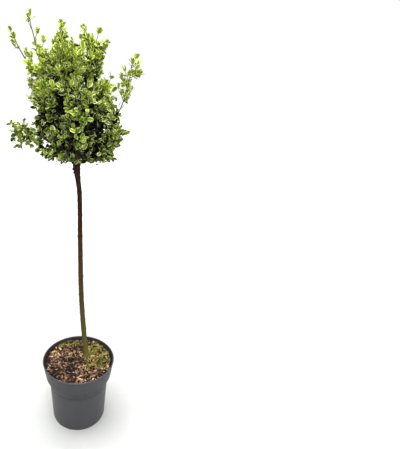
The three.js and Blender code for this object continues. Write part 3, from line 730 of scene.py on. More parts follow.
@dataclass
class NurseryPot:
    """Round pot: a thin wall that narrows downwards, under a deep collar that swells out at its foot."""

    height: float = 180.0
    rim_radius: float = 95.0
    lip_depth: float = 3.2
    lip_proud: float = 0.8
    collar_foot: float = 137.5
    collar_foot_radius: float = 87.7
    shoulder_foot: float = 112.5
    shoulder_foot_radius: float = 77.9
    base_radius: float = 71.0
    base_round: float = 3.0
    wall: float = 2.4
    floor: float = 3.2
    drain_count: int = 6
    drain_radius: float = 6.5
    drain_ring: float = 47.0
    sides: int = 160
    ring_heights: Series = (148.0, 161.0, 168.0)
    ring_proud: float = 0.35
    ring_width: float = 1.3
    row_height: float = 1.5

    def radius(self, height: float) -> float:
        """Gives the outer radius of the wall at a height: the body's cone, swelling into the collar's.

        Args:
            height: Height above the underside.

        Returns:
            The radius, without the moulded rings.
        """
        body = self.base_radius + height / self.shoulder_foot * (
            self.shoulder_foot_radius - self.base_radius)
        rise = (height - self.collar_foot) / (self.height - self.collar_foot)
        collar = self.collar_foot_radius + rise * (
            self.rim_radius - self.lip_proud - self.collar_foot_radius)
        return body + (collar - body) * float(ramp(height, self.shoulder_foot - 4, self.collar_foot + 1))

    def rings(self, height: float) -> float:
        """Gives how far the moulded rings stand out at a height."""
        return self.ring_proud * sum(
            math.exp(-((height - at) / self.ring_width) ** 2) for at in self.ring_heights)

    def profile(self) -> Array:
        """Gives the section through the wall.

        Returns:
            Radius and height of each point, from the underside's middle to the inner floor's.
        """
        lip_foot = self.height - self.lip_depth
        foot = [(self.radius(self.base_round) - self.base_round * (1 - math.sin(turn)),
                 self.base_round * (1 - math.cos(turn))) for turn in np.linspace(0.0, SQUARE_TURN, 5)]
        outside = [(self.radius(z) + self.rings(z), z)
                   for z in np.arange(2 * self.base_round, lip_foot - 0.5, self.row_height)]
        half = self.lip_depth / 2
        roll = [(self.rim_radius - half + half * math.cos(turn), lip_foot + half + half * math.sin(turn))
                for turn in np.linspace(-math.pi / 2.4, math.pi, 10)]
        inside = [(self.radius(z) - self.wall, z) for z in np.arange(self.height - 4.0, self.floor, -3.0)]
        return np.array([(0.0, 0.0), (self.drain_ring, 0.0), *foot, *outside, *roll, *inside,
                         (self.radius(self.floor) - self.wall - 1.0, self.floor), (0.0, self.floor)])

    def build(self) -> None:
        """Builds the pot and cuts its drain holes."""
        profile = self.profile()
        rings = np.arange(len(profile) - 3)
        inner = (rings > np.argmax(profile[1:-1, 1])).astype(int)
        pile = Pile().add(lathe(profile, self.sides), np.repeat(inner, self.sides),
                          np.repeat([0, 1], self.sides))
        pot = pile.piece("nursery_pot", [
            MouldedPolypropylene().make(),
            # second finish, for the inner wall and floor: near black, painted shade inside the pot
            MouldedPolypropylene("painted_shade_polypropylene", skin="101012", dust="1c1a1a").make()])
        drains = Pile()
        for i in range(self.drain_count):
            turn = FULL_TURN * i / self.drain_count
            middle = self.drain_ring * np.array([math.cos(turn), math.sin(turn), 0.0])
            drains.add(bar(middle + np.outer((-8.0, 2 * self.floor), UP), np.full(2, self.drain_radius), 24))
        cutter = drains.piece("drain_cutter", [])
        cut = pot.modifiers.new("drains", "BOOLEAN")
        cut.operation, cut.object, cut.solver = "DIFFERENCE", cutter, "EXACT"
        graph = bpy.context.evaluated_depsgraph_get()
        done = bpy.data.meshes.new_from_object(pot.evaluated_get(graph))
        pot.modifiers.clear()
        pot.data = done
        bpy.data.objects.remove(cutter)
        done.set_sharp_from_angle(angle=math.radians(40))
        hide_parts("pot")


class Patch(NamedTuple):
    """Round patch on the compost: its middle, and its reach along X and Y."""

    x: float
    y: float
    wide: float
    deep: float

    def out(self, place: Array) -> float:
        """Gives how far out of the patch's middle a place lies: 1 on its edge."""
        return math.hypot((place[0] - self.x) / self.wide, (place[1] - self.y) / self.deep)


@dataclass
class CompostFill:
    """Bark compost to just under the rim: a crumbly bed with chips, fibres, pale bits and moss on it."""

    pot: NurseryPot
    foot: Place
    edge: float = 166.0
    mound: float = 3.4
    lump: float = 1.7
    gap: float = 0.3
    seat_radius: float = 13.0
    seat_blend: float = 12.0
    crumb_sizes: tuple[Span, ...] = ((9.0, 1.7), (4.0, 1.2), (1.8, 0.5))
    row_width: float = 1.3
    chip_count: int = 980
    chip_lengths: Series = (5.0, 8.0, 11.0, 15.0)
    chip_shares: Series = (0.32, 0.36, 0.22, 0.1)
    chip_breadth: Span = (0.4, 0.66)  # as a share of the length
    chip_widest: float = 5.6
    chip_thickness: Span = (1.0, 2.8)
    chip_lift: Span = (0.6, 3.6)
    chip_browns: Series = (0.2, 0.45, 0.68, 0.9)  # level at which the next brown starts
    brown_level: float = 0.6
    patch_darkening: float = 0.56
    brown_stray: float = 0.38
    fibre_count: int = 230
    fibre_length: Span = (8.0, 26.0)
    fibre_radii: Span = (0.5, 0.25)
    fibre_lift: Span = (1.4, 4.2)
    fibre_points: int = 7
    pale_count: int = 26
    pale_size: Span = (1.6, 4.2)
    pale_lift: Span = (0.8, 1.8)
    back_rise: float = 3.5
    back_rise_depth: float = 80.0
    stem_clearance: float = 9.0
    moss_cover: float = 0.6  # share of the chips that the moss hides
    moss_count: int = 1700
    moss_blades: int = 6
    moss_length: Span = (1.6, 3.4)
    moss_lift: Span = (0.8, 4.4)
    moss_tints: Series = (0.4, 0.4, 0.2)
    moss: tuple[Patch, ...] = (Patch(56.0, 22.0, 32.0, 58.0), Patch(34.0, 6.0, 20.0, 44.0),
                               Patch(-28.0, 68.0, 36.0, 14.0))
    moss_shares: Series = (0.62, 0.22, 0.16)
    # patches where the chips are darker
    dark_patches: tuple[Patch, ...] = (Patch(-46.0, -42.0, 38.0, 32.0), Patch(-26.0, -2.0, 36.0, 20.0),
                               Patch(-84.0, 8.0, 8.0, 20.0), Patch(88.0, 10.0, 6.0, 50.0),
                               Patch(-12.0, 60.0, 36.0, 22.0))

    def from_stem(self, x: Array, y: Array) -> Array:
        """Gives how far places are from the stem's middle."""
        return np.hypot(x - self.foot[0], y - self.foot[1])

    def top(self, x: Array, y: Array) -> Array:
        """Gives the height of the bed: a low mound with lumps, level under the stem.

        Args:
            x: Places to the right.
            y: Places to the back.

        Returns:
            The heights.
        """
        out = np.hypot(x, y) / self.pot.rim_radius
        lumps = np.sin(x * 0.11 + 1) * np.cos(y * 0.13) + 0.7 * np.sin(x * 0.21 - y * 0.17 + 2)
        free = self.edge + self.mound * (1 - out ** 2) + self.lump * lumps * (1 - out ** 4)
        free = free + self.back_rise * ramp(y, 0.0, self.back_rise_depth)
        near = ramp(self.from_stem(x, y), self.seat_radius, self.seat_radius + self.seat_blend)
        return (self.foot[2] - self.gap) * (1 - near) + free * near

    def crumbs(self, x: Array, y: Array) -> Array:
        """Gives the height of the crumbs above the bed."""
        places = np.stack([x, y, np.zeros_like(x)], axis=-1)
        return sum(deep * rough(places, size, seed=7 * i) for i, (size, deep) in enumerate(self.crumb_sizes))

    @property
    def inner_radius(self) -> float:
        """Gives the radius of the bed."""
        return self.pot.radius(self.edge) - self.pot.wall - self.gap

    def bed(self) -> None:
        """Builds the crumbly bed and the plug under it."""
        low = self.pot.floor + self.gap
        wall = [(self.pot.radius(z) - self.pot.wall - self.gap, z) for z in
                (low, self.pot.shoulder_foot, 119.0, 125.0, 131.0, self.pot.collar_foot, self.edge)]
        inner = [(r, self.edge) for r in np.arange(self.inner_radius - self.row_width, 1.0, -self.row_width)]
        body = lathe(np.array([(0.0, low), *wall, *inner, (0.0, self.edge)]), 300)
        free = body.corners[:, 2] > self.edge - 0.01
        x, y = body.corners[free, 0], body.corners[free, 1]
        body.corners[free, 2] = self.top(x, y) + self.crumbs(x, y)
        bed = Pile().add(body).piece("compost_bed", [
            Crumbled("bark_compost", "080404", "281814", 2.2, low=0.45, high=0.75, depth=1.2).make()])
        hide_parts("compost")

    def spots(self, count: int, draw: np.random.Generator, clear: float = 9.0) -> Array:
        """Scatters places over the bed, clear of the stem.

        Args:
            count: Number of places.
            draw: Source of chance.
            clear: Distance that they keep from the stem's middle.

        Returns:
            Places on the bed, one a row.
        """
        reach = (self.inner_radius - 2.5) * np.sqrt(draw.random(3 * count))
        turn = FULL_TURN * draw.random(3 * count)
        x, y = reach * np.cos(turn), reach * np.sin(turn)
        keep = np.flatnonzero(self.from_stem(x, y) > clear)[:count]
        return np.stack([x[keep], y[keep], self.top(x[keep], y[keep])], axis=-1)

    def chip(self, place: Array, sizes: Array, draw: np.random.Generator) -> Body:
        """Makes a chip: a flat block with chipped corners, lying at a slant.

        Args:
            place: Its middle.
            sizes: Its length, width and thickness.
            draw: Source of chance.

        Returns:
            The chip.
        """
        corners = np.array([[x, y, z] for z in (-1, 1) for y in (-1, 1) for x in (-1, 1)], dtype=float)
        corners = corners * sizes / 2 * draw.uniform(0.55, 1.0, (8, 3))
        turn, tilt, roll = draw.uniform(0, FULL_TURN), draw.normal(0, 0.22), draw.normal(0, 0.3)
        spin = Matrix.Rotation(turn, 3, "Z") @ Matrix.Rotation(tilt, 3, "Y") @ Matrix.Rotation(roll, 3, "X")
        quads = np.array([[0, 2, 3, 1], [4, 5, 7, 6], [0, 1, 5, 4], [2, 6, 7, 3], [0, 4, 6, 2], [1, 3, 7, 5]])
        return Body(corners @ np.array(spin).T + place, quads, np.empty((0, 3), int))

    def patch_darkness(self, place: Array) -> float:
        """Gives how far a place lies in the darker patches, from 0, outside, to 1, well inside."""
        in_patch = max(1 - patch.out(place) ** 2 for patch in self.dark_patches)
        return float(ramp(in_patch + 0.7 * rough(place[None], 16.0, 5.0)[0], -0.8, 0.8))

    def dressed(self, pile: Pile, name: str, pairs: tuple[tuple[str, str, str], ...], grain: float,
                smooth: bool = True) -> None:
        """Makes a piece that lies on the bed, with a name and two colours for each of its finishes."""
        finishes = [Crumbled(*pair, grain, depth=0.3).make() for pair in pairs]
        pile.piece(name, finishes, smooth)

    def chips(self) -> None:
        """Scatters the bark chips, fewer of them in the moss and darker ones in the darker patches."""
        draw, pile = new_draw(Use.CHIPS), Pile()
        for place in self.spots(self.chip_count, draw):
            size = draw.choice(self.chip_lengths, p=self.chip_shares)
            sizes = np.array([size, min(size * draw.uniform(*self.chip_breadth), self.chip_widest),
                              draw.uniform(*self.chip_thickness)])
            if np.hypot(*place[:2]) + size / 2 > self.inner_radius:
                continue
            if draw.random() < self.moss_cover and any(patch.out(place) < 0.9 for patch in self.moss):
                continue
            chip_level = (self.brown_level - self.patch_darkening * self.patch_darkness(place)
                   + draw.normal(0, self.brown_stray))
            pile.add(self.chip(place + UP * draw.uniform(*self.chip_lift), sizes, draw),
                     int(np.digitize(chip_level, self.chip_browns)))
        self.dressed(pile, "bark_chips", (
            ("bark_chip_black", "120a0a", "2a1a18"), ("bark_chip_dark", "332019", "573828"),
            ("bark_chip_red", "62453a", "866752"), ("bark_chip_brown", "7e6244", "9c7e5a"),
            ("bark_chip_tan", "b8946a", "dcbf94")), 1.1, smooth=False)

    def fibres(self) -> None:
        """Scatters the coir fibres."""
        draw, pile = new_draw(Use.FIBRES), Pile()
        for place in self.spots(self.fibre_count, draw, clear=14.0):
            turn, length = draw.uniform(0, FULL_TURN), draw.uniform(*self.fibre_length)
            way = np.array([math.cos(turn), math.sin(turn), draw.normal(0, 0.08)])
            side = np.array([-way[1], way[0], 0.0]) * draw.normal(0, 0.22)
            start, end = place - way * length / 2, place + way * length / 2
            if max(np.hypot(*start[:2]), np.hypot(*end[:2])) > self.inner_radius - 1:
                continue
            course = bend(start, way + side, end, way - side + UP * draw.normal(0, 0.2), 6)
            points = course.at(np.linspace(0, 1, self.fibre_points))
            bed = self.top(points[:, 0], points[:, 1])
            points[:, 2] = bed + draw.uniform(*self.fibre_lift) + (points[:, 2] - place[2]) * 0.5
            radii = np.linspace(*self.fibre_radii, self.fibre_points) * draw.uniform(0.8, 1.6)
            pile.add(bar(points, radii, 4), int(draw.integers(2)))
        self.dressed(pile, "coir_fibres", (
            ("coir_brown", "5c3f28", "84603c"), ("coir_tan", "ae8a5e", "d6b688")), 0.8)

    def pale_bits(self) -> None:
        """Scatters the pale bits of pith and grit."""
        draw, pile = new_draw(Use.PALE_BITS), Pile()
        for place in self.spots(self.pale_count, draw):
            size = draw.uniform(*self.pale_size)
            if np.hypot(*place[:2]) + size > self.inner_radius:
                continue
            sizes = np.array([size, size * draw.uniform(0.5, 0.9), size * draw.uniform(0.4, 0.7)])
            pile.add(self.chip(place + UP * draw.uniform(*self.pale_lift), sizes, draw))
        self.dressed(pile, "pale_bits", (("pale_pith", "c8b490", "efe4cc"),), 0.9, smooth=False)

    def moss_tufts(self) -> None:
        """Grows the moss between the stem and the rim, in tufts of pointed blades."""
        draw, pile = new_draw(Use.MOSS), Pile()
        blade = np.array([[-0.3, 0.0, 0.0], [0.3, 0.0, 0.0], [0.16, 0.6, 0.35], [-0.16, 0.6, 0.35],
                          [0, 1.0, 0.5]])
        quads, triangles = np.array([[0, 1, 2, 3]]), np.array([[3, 2, 4]])
        for _ in range(self.moss_count):
            patch = self.moss[draw.choice(len(self.moss), p=self.moss_shares)]
            reach, turn = math.sqrt(draw.random()), draw.uniform(0, FULL_TURN)
            x = patch.x + patch.wide * reach * math.cos(turn)
            y = patch.y + patch.deep * reach * math.sin(turn)
            thin = rough(np.array([[x, y, 0.0]]), 11.0, 3.0)[0]
            if math.hypot(x, y) > self.inner_radius - 3 or thin < draw.uniform(-0.55, 0.25) * reach:
                continue
            if self.from_stem(x, y) < self.stem_clearance:
                continue
            z = float(self.top(np.array(x), np.array(y))) + draw.uniform(*self.moss_lift)
            first = draw.uniform(0, FULL_TURN)
            finish = int(draw.choice(len(self.moss_tints), p=self.moss_tints))
            for k in range(self.moss_blades):
                spin = np.array(Matrix.Rotation(first + k * GOLDEN_ANGLE, 3, "Z"))
                corners = blade * draw.uniform(*self.moss_length) @ spin.T + (x, y, z)
                pile.add(Body(corners, quads, triangles), finish, finish)
        self.dressed(pile, "moss_tufts", (
            ("moss_green", "262a06", "4a4e10"), ("moss_yellow", "5e5a0e", "88821e"),
            ("moss_straw", "968440", "cab66c")), 1.0)

    def build(self) -> None:
        """Builds the bed and all that lies on it."""
        for build in (self.bed, self.chips, self.fibres, self.pale_bits, self.moss_tufts):
            build()


# Trunk and boughs.


class BoughPlan(NamedTuple):
    """A bough: its parent, how far along it starts, its way out, its tip, root radius and rise."""

    name: str
    parent: str
    at: float
    leave: Place
    tip: Place
    radius: float
    rise: float


@dataclass(frozen=True)
class Limb:
    """The trunk or a bough."""

    name: str
    parent: str | None
    course: Course
    radius: Callable[[Array], Array]


BOUGHS = tuple(BoughPlan(*row) for row in (
    ("lower_left", "trunk", 0.957, (-1, -0.1, 0.25), (-32, -5, 736), 3, 0.15),
    ("lower_front", "trunk", 0.964, (-0.1, -1, 0.3), (-4, -29, 738), 2.9, 0.15),
    ("lower_right", "trunk", 0.959, (1, -0.1, 0.25), (29, -4, 736), 3, 0.15),
    ("lower_back", "trunk", 0.966, (0, 1, 0.3), (-2, 29, 740), 2.9, 0.15),
    ("leader_left", "trunk", 0.975, (-1, -0.1, 0.9), (-44, -6, 858), 3.3, 0.5),
    ("leader_front", "trunk", 0.979, (-0.15, -1, 0.9), (-20, -26, 856), 3.2, 0.5),
    ("leader_right", "trunk", 0.976, (1, 0.05, 0.9), (18, 4, 862), 3.3, 0.5),
    ("leader_back", "trunk", 0.98, (-0.05, 1, 0.9), (-20, 32, 862), 3.2, 0.5),
    ("leader_centre", "trunk", 0.99, (-0.06, 0.03, 1), (-24, 4, 892), 3.4, 0.3),
    ("middle_left", "leader_left", 0.36, (-1, -0.5, 0.7), (-42, -20, 798), 2.1, 0.2),
    ("middle_front", "leader_front", 0.34, (0.9, -0.8, 0.7), (13, -34, 798), 2.1, 0.2),
    ("middle_right", "leader_right", 0.4, (1, 0.5, 0.7), (38, 14, 800), 2.1, 0.2),
    ("middle_back", "leader_back", 0.36, (-0.8, 0.8, 0.7), (-34, 36, 802), 2.1, 0.2),
    ("far_left_shoot", "leader_left", 0.76, (-1, 0.3, 0.7), (-72, 2, 868), 1.8, 0.3),
    ("left_shoot", "leader_left", 0.6, (-0.5, 0.9, 0.8), (-62, 20, 868), 1.8, 0.4),
    ("far_right_shoot", "lower_right", 0.5, (0.3, 0.1, 1), (64, -4, 780), 2.2, 0.1),
    ("lower_left_spray", "lower_left", 0.55, (-0.7, 0.35, 0.9), (-70, 4, 762), 2, 0.1),
))
BOUGH_TIP_RADIUS = 1.7


@dataclass
class WoodyFrame:
    """Trunk and boughs, with the relief of their bark."""

    foot: Place = (21.5, 19.0, 168.3)
    stem_course: tuple[Place, ...] = (
        (17.2, 16.5, 214), (8, 9.5, 360), (5.5, 5, 520), (4.2, 2.4, 640), (-1.2, 0.8, 694))
    head_top: Place = (-2.5, 0.0, 736.0)
    radius_low: float = 6.7
    radius_high: float = 5.6
    flare: float = 3.6
    flare_height: float = 9.0
    head_swell: float = 2.4
    head_start: float = 655.0
    head_full: float = 706.0
    head_round: float = 12.0
    head_flat: float = 0.62
    ring_step: float = 2.2
    stub_count: int = 20
    stub_heights: Span = (0.915, 0.985)  # as shares of the trunk's length
    stub_reach: Span = (1.0, 3.4)
    stub_radius: Span = (1.5, 2.7)
    streak_size: float = 1.7
    lump_size: float = 7.0
    scar_step: float = 27.0
    scar_width: float = 1.8
    streak_relief: float = 0.055  # reliefs, as shares of the limb's radius
    lump_relief: float = 0.09
    scar_relief: float = 0.11

    @cached_property
    def trunk_course(self) -> Course:
        """Gives the trunk's course from the soil to its head."""
        return through(np.array([self.foot, *self.stem_course, self.head_top], dtype=float))

    def trunk_radius(self, shares: Array) -> Array:
        """Gives the trunk's radius: taper, flared foot, swollen and rounded head.

        Args:
            shares: Shares of the trunk's length.

        Returns:
            The radii.
        """
        height = self.trunk_course.at(shares)[..., 2]
        taper = self.radius_low + (self.radius_high - self.radius_low) * np.minimum(
            1.0, np.asarray(shares) * 1.4)
        flare = self.flare * np.exp((self.foot[2] - height) / self.flare_height)
        head = self.head_swell * ramp(height, self.head_start, self.head_full)
        from_top = np.clip((self.head_top[2] - height) / self.head_round, 0.0, 1.0)
        crown = self.head_flat + (1 - self.head_flat) * np.sqrt(1 - (1 - from_top) ** 2)
        return (taper + flare + head) * crown

    @cached_property
    def limbs(self) -> dict[str, Limb]:
        """Works out every limb's course from its parent's.

        Returns:
            The limbs by name, the trunk first.
        """
        grown = {"trunk": Limb("trunk", None, self.trunk_course, self.trunk_radius)}
        for plan in BOUGHS:
            start = grown[plan.parent].course.at(plan.at)
            end = np.array(plan.tip)
            course = bend(start, np.array(plan.leave), end, unit(end - start) + UP * plan.rise)
            grown[plan.name] = Limb(
                plan.name, plan.parent, course,
                lambda t, root=plan.radius: root + (BOUGH_TIP_RADIUS - root) * np.asarray(t))
        return grown

    def relief(self, course: Course, shares: Array, radii: Array, sides: int, seed: int) -> Array:
        """Gives the bark's relief: corky ridges along the limb, lumps and pairs of leaf scars.

        Args:
            course: The limb's course.
            shares: Shares of its length at which its rings stand.
            radii: Radius of each ring.
            sides: Number of sides.
            seed: Number that gives each limb its own pattern.

        Returns:
            Heights, one row a ring.
        """
        turns = FULL_TURN * np.arange(sides) / sides
        walked = shares * course.length
        places = np.stack([
            np.cos(turns)[None] * radii[:, None], np.sin(turns)[None] * radii[:, None],
            np.repeat(walked[:, None], sides, axis=1)], axis=-1).reshape(-1, 3)
        streaks = rough(places * (1.0, 1.0, 0.28), self.streak_size, seed).reshape(len(shares), sides)
        lumps = rough(places * (1.0, 1.0, 0.7), self.lump_size, seed + 40).reshape(len(shares), sides)
        from_scar = (walked % self.scar_step) / self.scar_step - 0.5
        band = np.exp(-(from_scar * self.scar_step / self.scar_width) ** 2)[:, None]
        pair = np.cos(turns[None] - (walked // self.scar_step)[:, None] * SQUARE_TURN) ** 8
        return radii[:, None] * (self.streak_relief * streaks + self.lump_relief * lumps
                                 + self.scar_relief * band * pair)

    def limb_bar(self, limb: Limb, seed: int) -> Body:
        """Makes a limb with its relief.

        Args:
            limb: The limb.
            seed: Number that gives it its own pattern.

        Returns:
            The limb.
        """
        sides = 32 if limb.parent is None else 12
        shares = np.linspace(0.0, 1.0, max(6, round(limb.course.length / self.ring_step)))
        radii = limb.radius(shares)
        body = bar(limb.course.at(shares), radii, sides, self.relief(limb.course, shares, radii, sides, seed))
        if limb.parent is None:
            body.corners[body.corners[:, 2] < self.foot[2] + 1.5, 2] = self.foot[2]
        return body

    def stubs(self, pile: Pile) -> None:
        """Grows the stubs of pruned shoots out of the swollen head.

        Args:
            pile: What they are added to.
        """
        draw = new_draw(Use.STUBS)
        for i in range(self.stub_count):
            share = draw.uniform(*self.stub_heights)
            place, way, side = self.trunk_course.fork(share, i * GOLDEN_ANGLE)
            radius = float(self.trunk_radius(np.array(share)))
            out = unit(side + way * draw.uniform(0.0, 0.5))
            tip = radius + draw.uniform(*self.stub_reach)
            steps = np.array([0.4 * radius, 0.9 * radius, tip - 0.4, tip])
            wide = draw.uniform(*self.stub_radius)
            pile.add(bar(place + steps[:, None] * out, wide * np.array([1.5, 1.2, 1.0, 0.75]), 9))

    def build(self) -> None:
        """Builds the trunk and all boughs as one mesh."""
        pile = Pile()
        for seed, limb in enumerate(self.limbs.values()):
            pile.add(self.limb_bar(limb, seed))
        self.stubs(pile)
        piece = pile.piece("stem_and_boughs", [StemBark().make()])
        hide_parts("trunk", *(f"bough_{plan.name}" for plan in BOUGHS))


# Where the photograph was taken from.


@dataclass
class Viewpoint:
    """The photograph's camera, found from the pot's rim, shoulder and foot in its 400 by 449 frame."""

    place: Place = (0.0, -820.4, 865.3)
    pitch: float = math.radians(20.09)
    yaw: float = math.radians(7.7)
    roll: float = math.radians(2.26)
    lens_pixels: float = 370.0
    long_side: float = 449.0
    middle_x: float = 200.0
    axis_x: float = 124.7

    @cached_property
    def axes(self) -> Array:
        """Gives the directions to the right, upward and ahead.

        Returns:
            The three unit directions, one a row.
        """
        ahead = np.array([math.sin(self.yaw) * math.cos(self.pitch),
                          math.cos(self.yaw) * math.cos(self.pitch), -math.sin(self.pitch)])
        level = np.array([math.cos(self.yaw), -math.sin(self.yaw), 0.0])
        above = np.cross(level, ahead)
        right = math.cos(self.roll) * level + math.sin(self.roll) * above
        upward = -math.sin(self.roll) * level + math.cos(self.roll) * above
        return np.array([right, upward, ahead])

    def pixels(self, places: Array) -> Array:
        """Gives where places are seen in the photograph's frame.

        Args:
            places: Places in millimetres, one a row.

        Returns:
            Pixels from the left and from the top, one row a place.
        """
        seen = (places - np.array(self.place)) @ self.axes.T
        scale = self.lens_pixels / seen[:, 2]
        return np.stack([self.axis_x + seen[:, 0] * scale,
                         self.long_side / 2 - seen[:, 1] * scale], axis=-1)


# Crown.


class Opening(NamedTuple):
    """Round place in the photograph's frame where the sky shows between loose shoots, in pixels."""

    x: float
    y: float
    reach: float


OPENINGS = tuple(Opening(*row) for row in (
    (50.5, 24, 6.5), (51.5, 34, 4.5), (73, 21, 6.5), (73.5, 30.5, 4.6), (83.5, 16.5, 6.5), (94.5, 20, 7),
    (106, 26, 6.5), (112, 35, 3.6), (95.5, 37, 2.4), (74.5, 38, 2.6), (49, 41, 2.2), (34.5, 55, 3.2),
    (30.5, 47, 3), (33, 62, 2), (36.5, 47, 1.6), (46.5, 144, 4), (54, 28, 3),
    (33, 112, 4.5), (24, 112, 5), (13, 113, 5), (17.5, 119, 3), (33, 119.5, 2.2), (116, 66, 4.5),
    (124, 60, 3), (118.5, 79, 2.6), (117.5, 93.5, 1.8), (118.5, 105, 1.8), (137, 92, 5.5),
    (134.5, 100, 4.5), (130.5, 108, 4), (127.5, 116, 3), (91, 27, 3.2), (119.5, 152, 4.6), (125, 143, 3.6),
    (31, 33.5, 3.4), (10.5, 46, 3.5), (23, 78.5, 2.8), (19.5, 121, 3), (17.5, 138, 2.2), (23, 133.5, 1.8),
    (28.5, 126.5, 1.6), (11.5, 128.5, 1.8), (111, 51.5, 2.4), (135, 84, 2.6), (112.5, 84, 2),
    (57, 28.5, 3.9), (68, 28, 4), (98.5, 38, 3), (105, 35.5, 2.8), (80, 35, 2.4), (65.5, 39, 1.6),
    (58, 37.5, 1.8), (88.5, 34, 1.8), (50.5, 46, 1.9), (76.5, 41.5, 2.2), (89.5, 38.5, 1.6),
    (102, 44.5, 1.8), (37.5, 61, 1.8), (43, 49, 1.5),
))

HOLLOWS = tuple(Opening(*row) for row in (  # where the dark inside of the crown shows past its outer leaves
    (90, 127, 5.5), (95.5, 121.5, 3), (86, 131.5, 3), (66, 87, 3.2), (72, 91, 3.4), (84.5, 84, 4),
    (91, 89, 4.4), (45, 104, 3), (81, 102, 4.2), (90, 106, 4), (60, 131, 3.2), (47, 125, 2.6),
    (36.5, 130, 2.8), (72, 150, 4.6), (78.5, 157, 3.8), (66, 143, 3), (96, 151, 4), (105, 143, 3),
    (56, 158, 3), (84, 74, 2.8), (74, 71, 2), (51, 87, 2.2), (41.5, 90, 1.8), (101, 112, 2.4),
    (56, 115, 2.2), (75, 121, 2.2), (104, 97, 2), (62, 62, 1.8),
))


class Leader(NamedTuple):
    """A finer shoot that grows on from a mass's stem to a tip, with evenly spaced pairs of leaves."""

    mass: str
    at: float
    tip: Place
    pairs: int


LEADERS = tuple(Leader(mass, *row) for mass, rows in (
    ("far_left_shoot", (
        (1, (-131, 2, 967), 1), (0.8, (-122, -4, 957), 1), (0.55, (-99, 0, 930), 1),
        (0.1, (-100, -2, 872), 2))),
    ("left_shoot", (
        (1, (-90, 12, 999), 2), (0.9, (-96, 12, 988), 1), (0.75, (-75, 12, 968), 1),
        (0.5, (-84, 12, 948), 2), (0.45, (-64, 12, 953), 2))),
    ("leader_centre", (
        (1, (-33, 2, 986), 2), (0.9, (-27, 2, 979), 1), (0.6, (-38, 2, 963), 2), (0.6, (-21, 2, 962), 2))),
    ("leader_right", (
        (0.9, (13, 0, 975), 2), (0.8, (5, 0, 960), 2), (0.85, (21, -8, 961), 2), (1, (45, 0, 973), 1),
        (0.85, (61, 0, 954), 2), (0.7, (50, 0, 944), 3))),
    ("far_right_shoot", (
        (1, (121, -12, 929), 2), (1, (112, -12, 920), 2), (1, (129, -12, 917), 1),
        (0.9, (125, -12, 888), 1), (0.8, (95, -12, 905), 2), (0.7, (88, -14, 890), 2),
        (0.6, (110, -12, 868), 1), (0.5, (82, -14, 872), 2), (0.3, (79, -12, 847), 2),
        (0.2, (69, -10, 827), 2))),
    ("middle_right", (
        (0.9, (72, 0, 890), 3), (0.85, (60, 0, 881), 3), (0.8, (79, 0, 863), 2))),
    ("middle_left", (
        (0.7, (-98, -8, 842), 3),)),
    ("lower_left_spray", (
        (1, (-132, -6, 754), 3), (0.5, (-104, -6, 748), 3))),
    ("lower_left", (
        (0.6, (-98, -10, 743), 3), (0.4, (-85, -10, 733), 3))),
    ("lower_right", (
        (0.4, (58, -10, 716), 2), (0.8, (107, -10, 777), 3))),
) for row in rows)


class MassPlan(NamedTuple):
    """A mass of foliage: its bough, its stem's tip and the way the stem comes in there."""

    bough: str
    tip: Place
    arrive: Place


MASSES = tuple(MassPlan(*row) for row in (
    ("lower_left", (-74, -16, 766), (-0.8, -0.2, 1)), ("lower_front", (-8, -58, 766), (0, -0.8, 1)),
    ("lower_right", (78, -16, 764), (0.8, -0.2, 1)), ("lower_back", (-4, 58, 770), (0, 0.8, 1)),
    ("middle_left", (-62, -46, 850), (-0.4, -0.2, 1)), ("middle_front", (22, -58, 842), (0.2, -0.5, 1)),
    ("middle_right", (56, 24, 850), (0.3, 0.2, 1)), ("middle_back", (-50, 56, 856), (-0.3, 0.4, 1)),
    ("leader_left", (-66, -2, 922), (-0.3, 0, 1)), ("leader_front", (-24, -44, 922), (0, -0.2, 1)),
    ("leader_right", (36, 2, 942), (0.2, 0, 1)), ("leader_back", (-26, 42, 922), (0, 0.2, 1)),
    ("leader_centre", (-27, 2, 966), (0, 0, 1)), ("far_left_shoot", (-121, 2, 954), (-0.35, 0, 1)),
    ("left_shoot", (-89, 12, 978), (-0.25, 0, 1)), ("far_right_shoot", (110, -12, 906), (0.1, 0, 1)),
    ("lower_left_spray", (-118, -4, 780), (-1, 0, 0.5)),
))


class ShootHabit(NamedTuple):
    """How a loose shoot grows: its side twigs, their length, and where its pairs of leaves stand."""

    twigs: int
    length: float
    pairs: Series


SHOOTS = {
    "far_left_shoot": ShootHabit(2, 14.0, (0.06, 0.14, 0.22, 0.31, 0.4, 0.95)),
    "left_shoot": ShootHabit(2, 12.0, (0.06, 0.14, 0.22, 0.31, 0.4, 0.5, 0.72)),
    "far_right_shoot": ShootHabit(5, 22.0, (0.05, 0.14, 0.62, 0.8, 0.92)),
    "lower_left_spray": ShootHabit(7, 22.0, (0.3, 0.45, 0.6, 0.74, 0.87, 1.0)),
}

OUTLINE = np.array([  # height, and reach to -X, to +X, and to front and back
    [702, -14, 18, 12], [709, -48, 54, 34], [718, -66, 75, 54], [732, -80, 86, 66],
    [750, -92, 94, 76], [775, -97, 104, 82], [800, -91, 94, 82], [835, -93, 76, 78],
    [870, -98, 62, 76], [905, -100, 50, 70], [928, -84, 58, 60], [950, -60, 63, 46],
    [970, -44, 54, 30], [988, -34, -16, 12]], dtype=float)


def outline_at(height: float | Array) -> tuple[Array, ...]:
    """Gives the crown's reach at heights: to -X, to +X, and to front and back."""
    return tuple(np.interp(height, OUTLINE[:, 0], OUTLINE[:, k]) for k in (1, 2, 3))


class Growth(Enum):
    """Where a twig grows: on a spray of its mass, as a leading shoot or inside the crown."""

    SPRAY = 0
    LEADER = 1
    INNER = 2


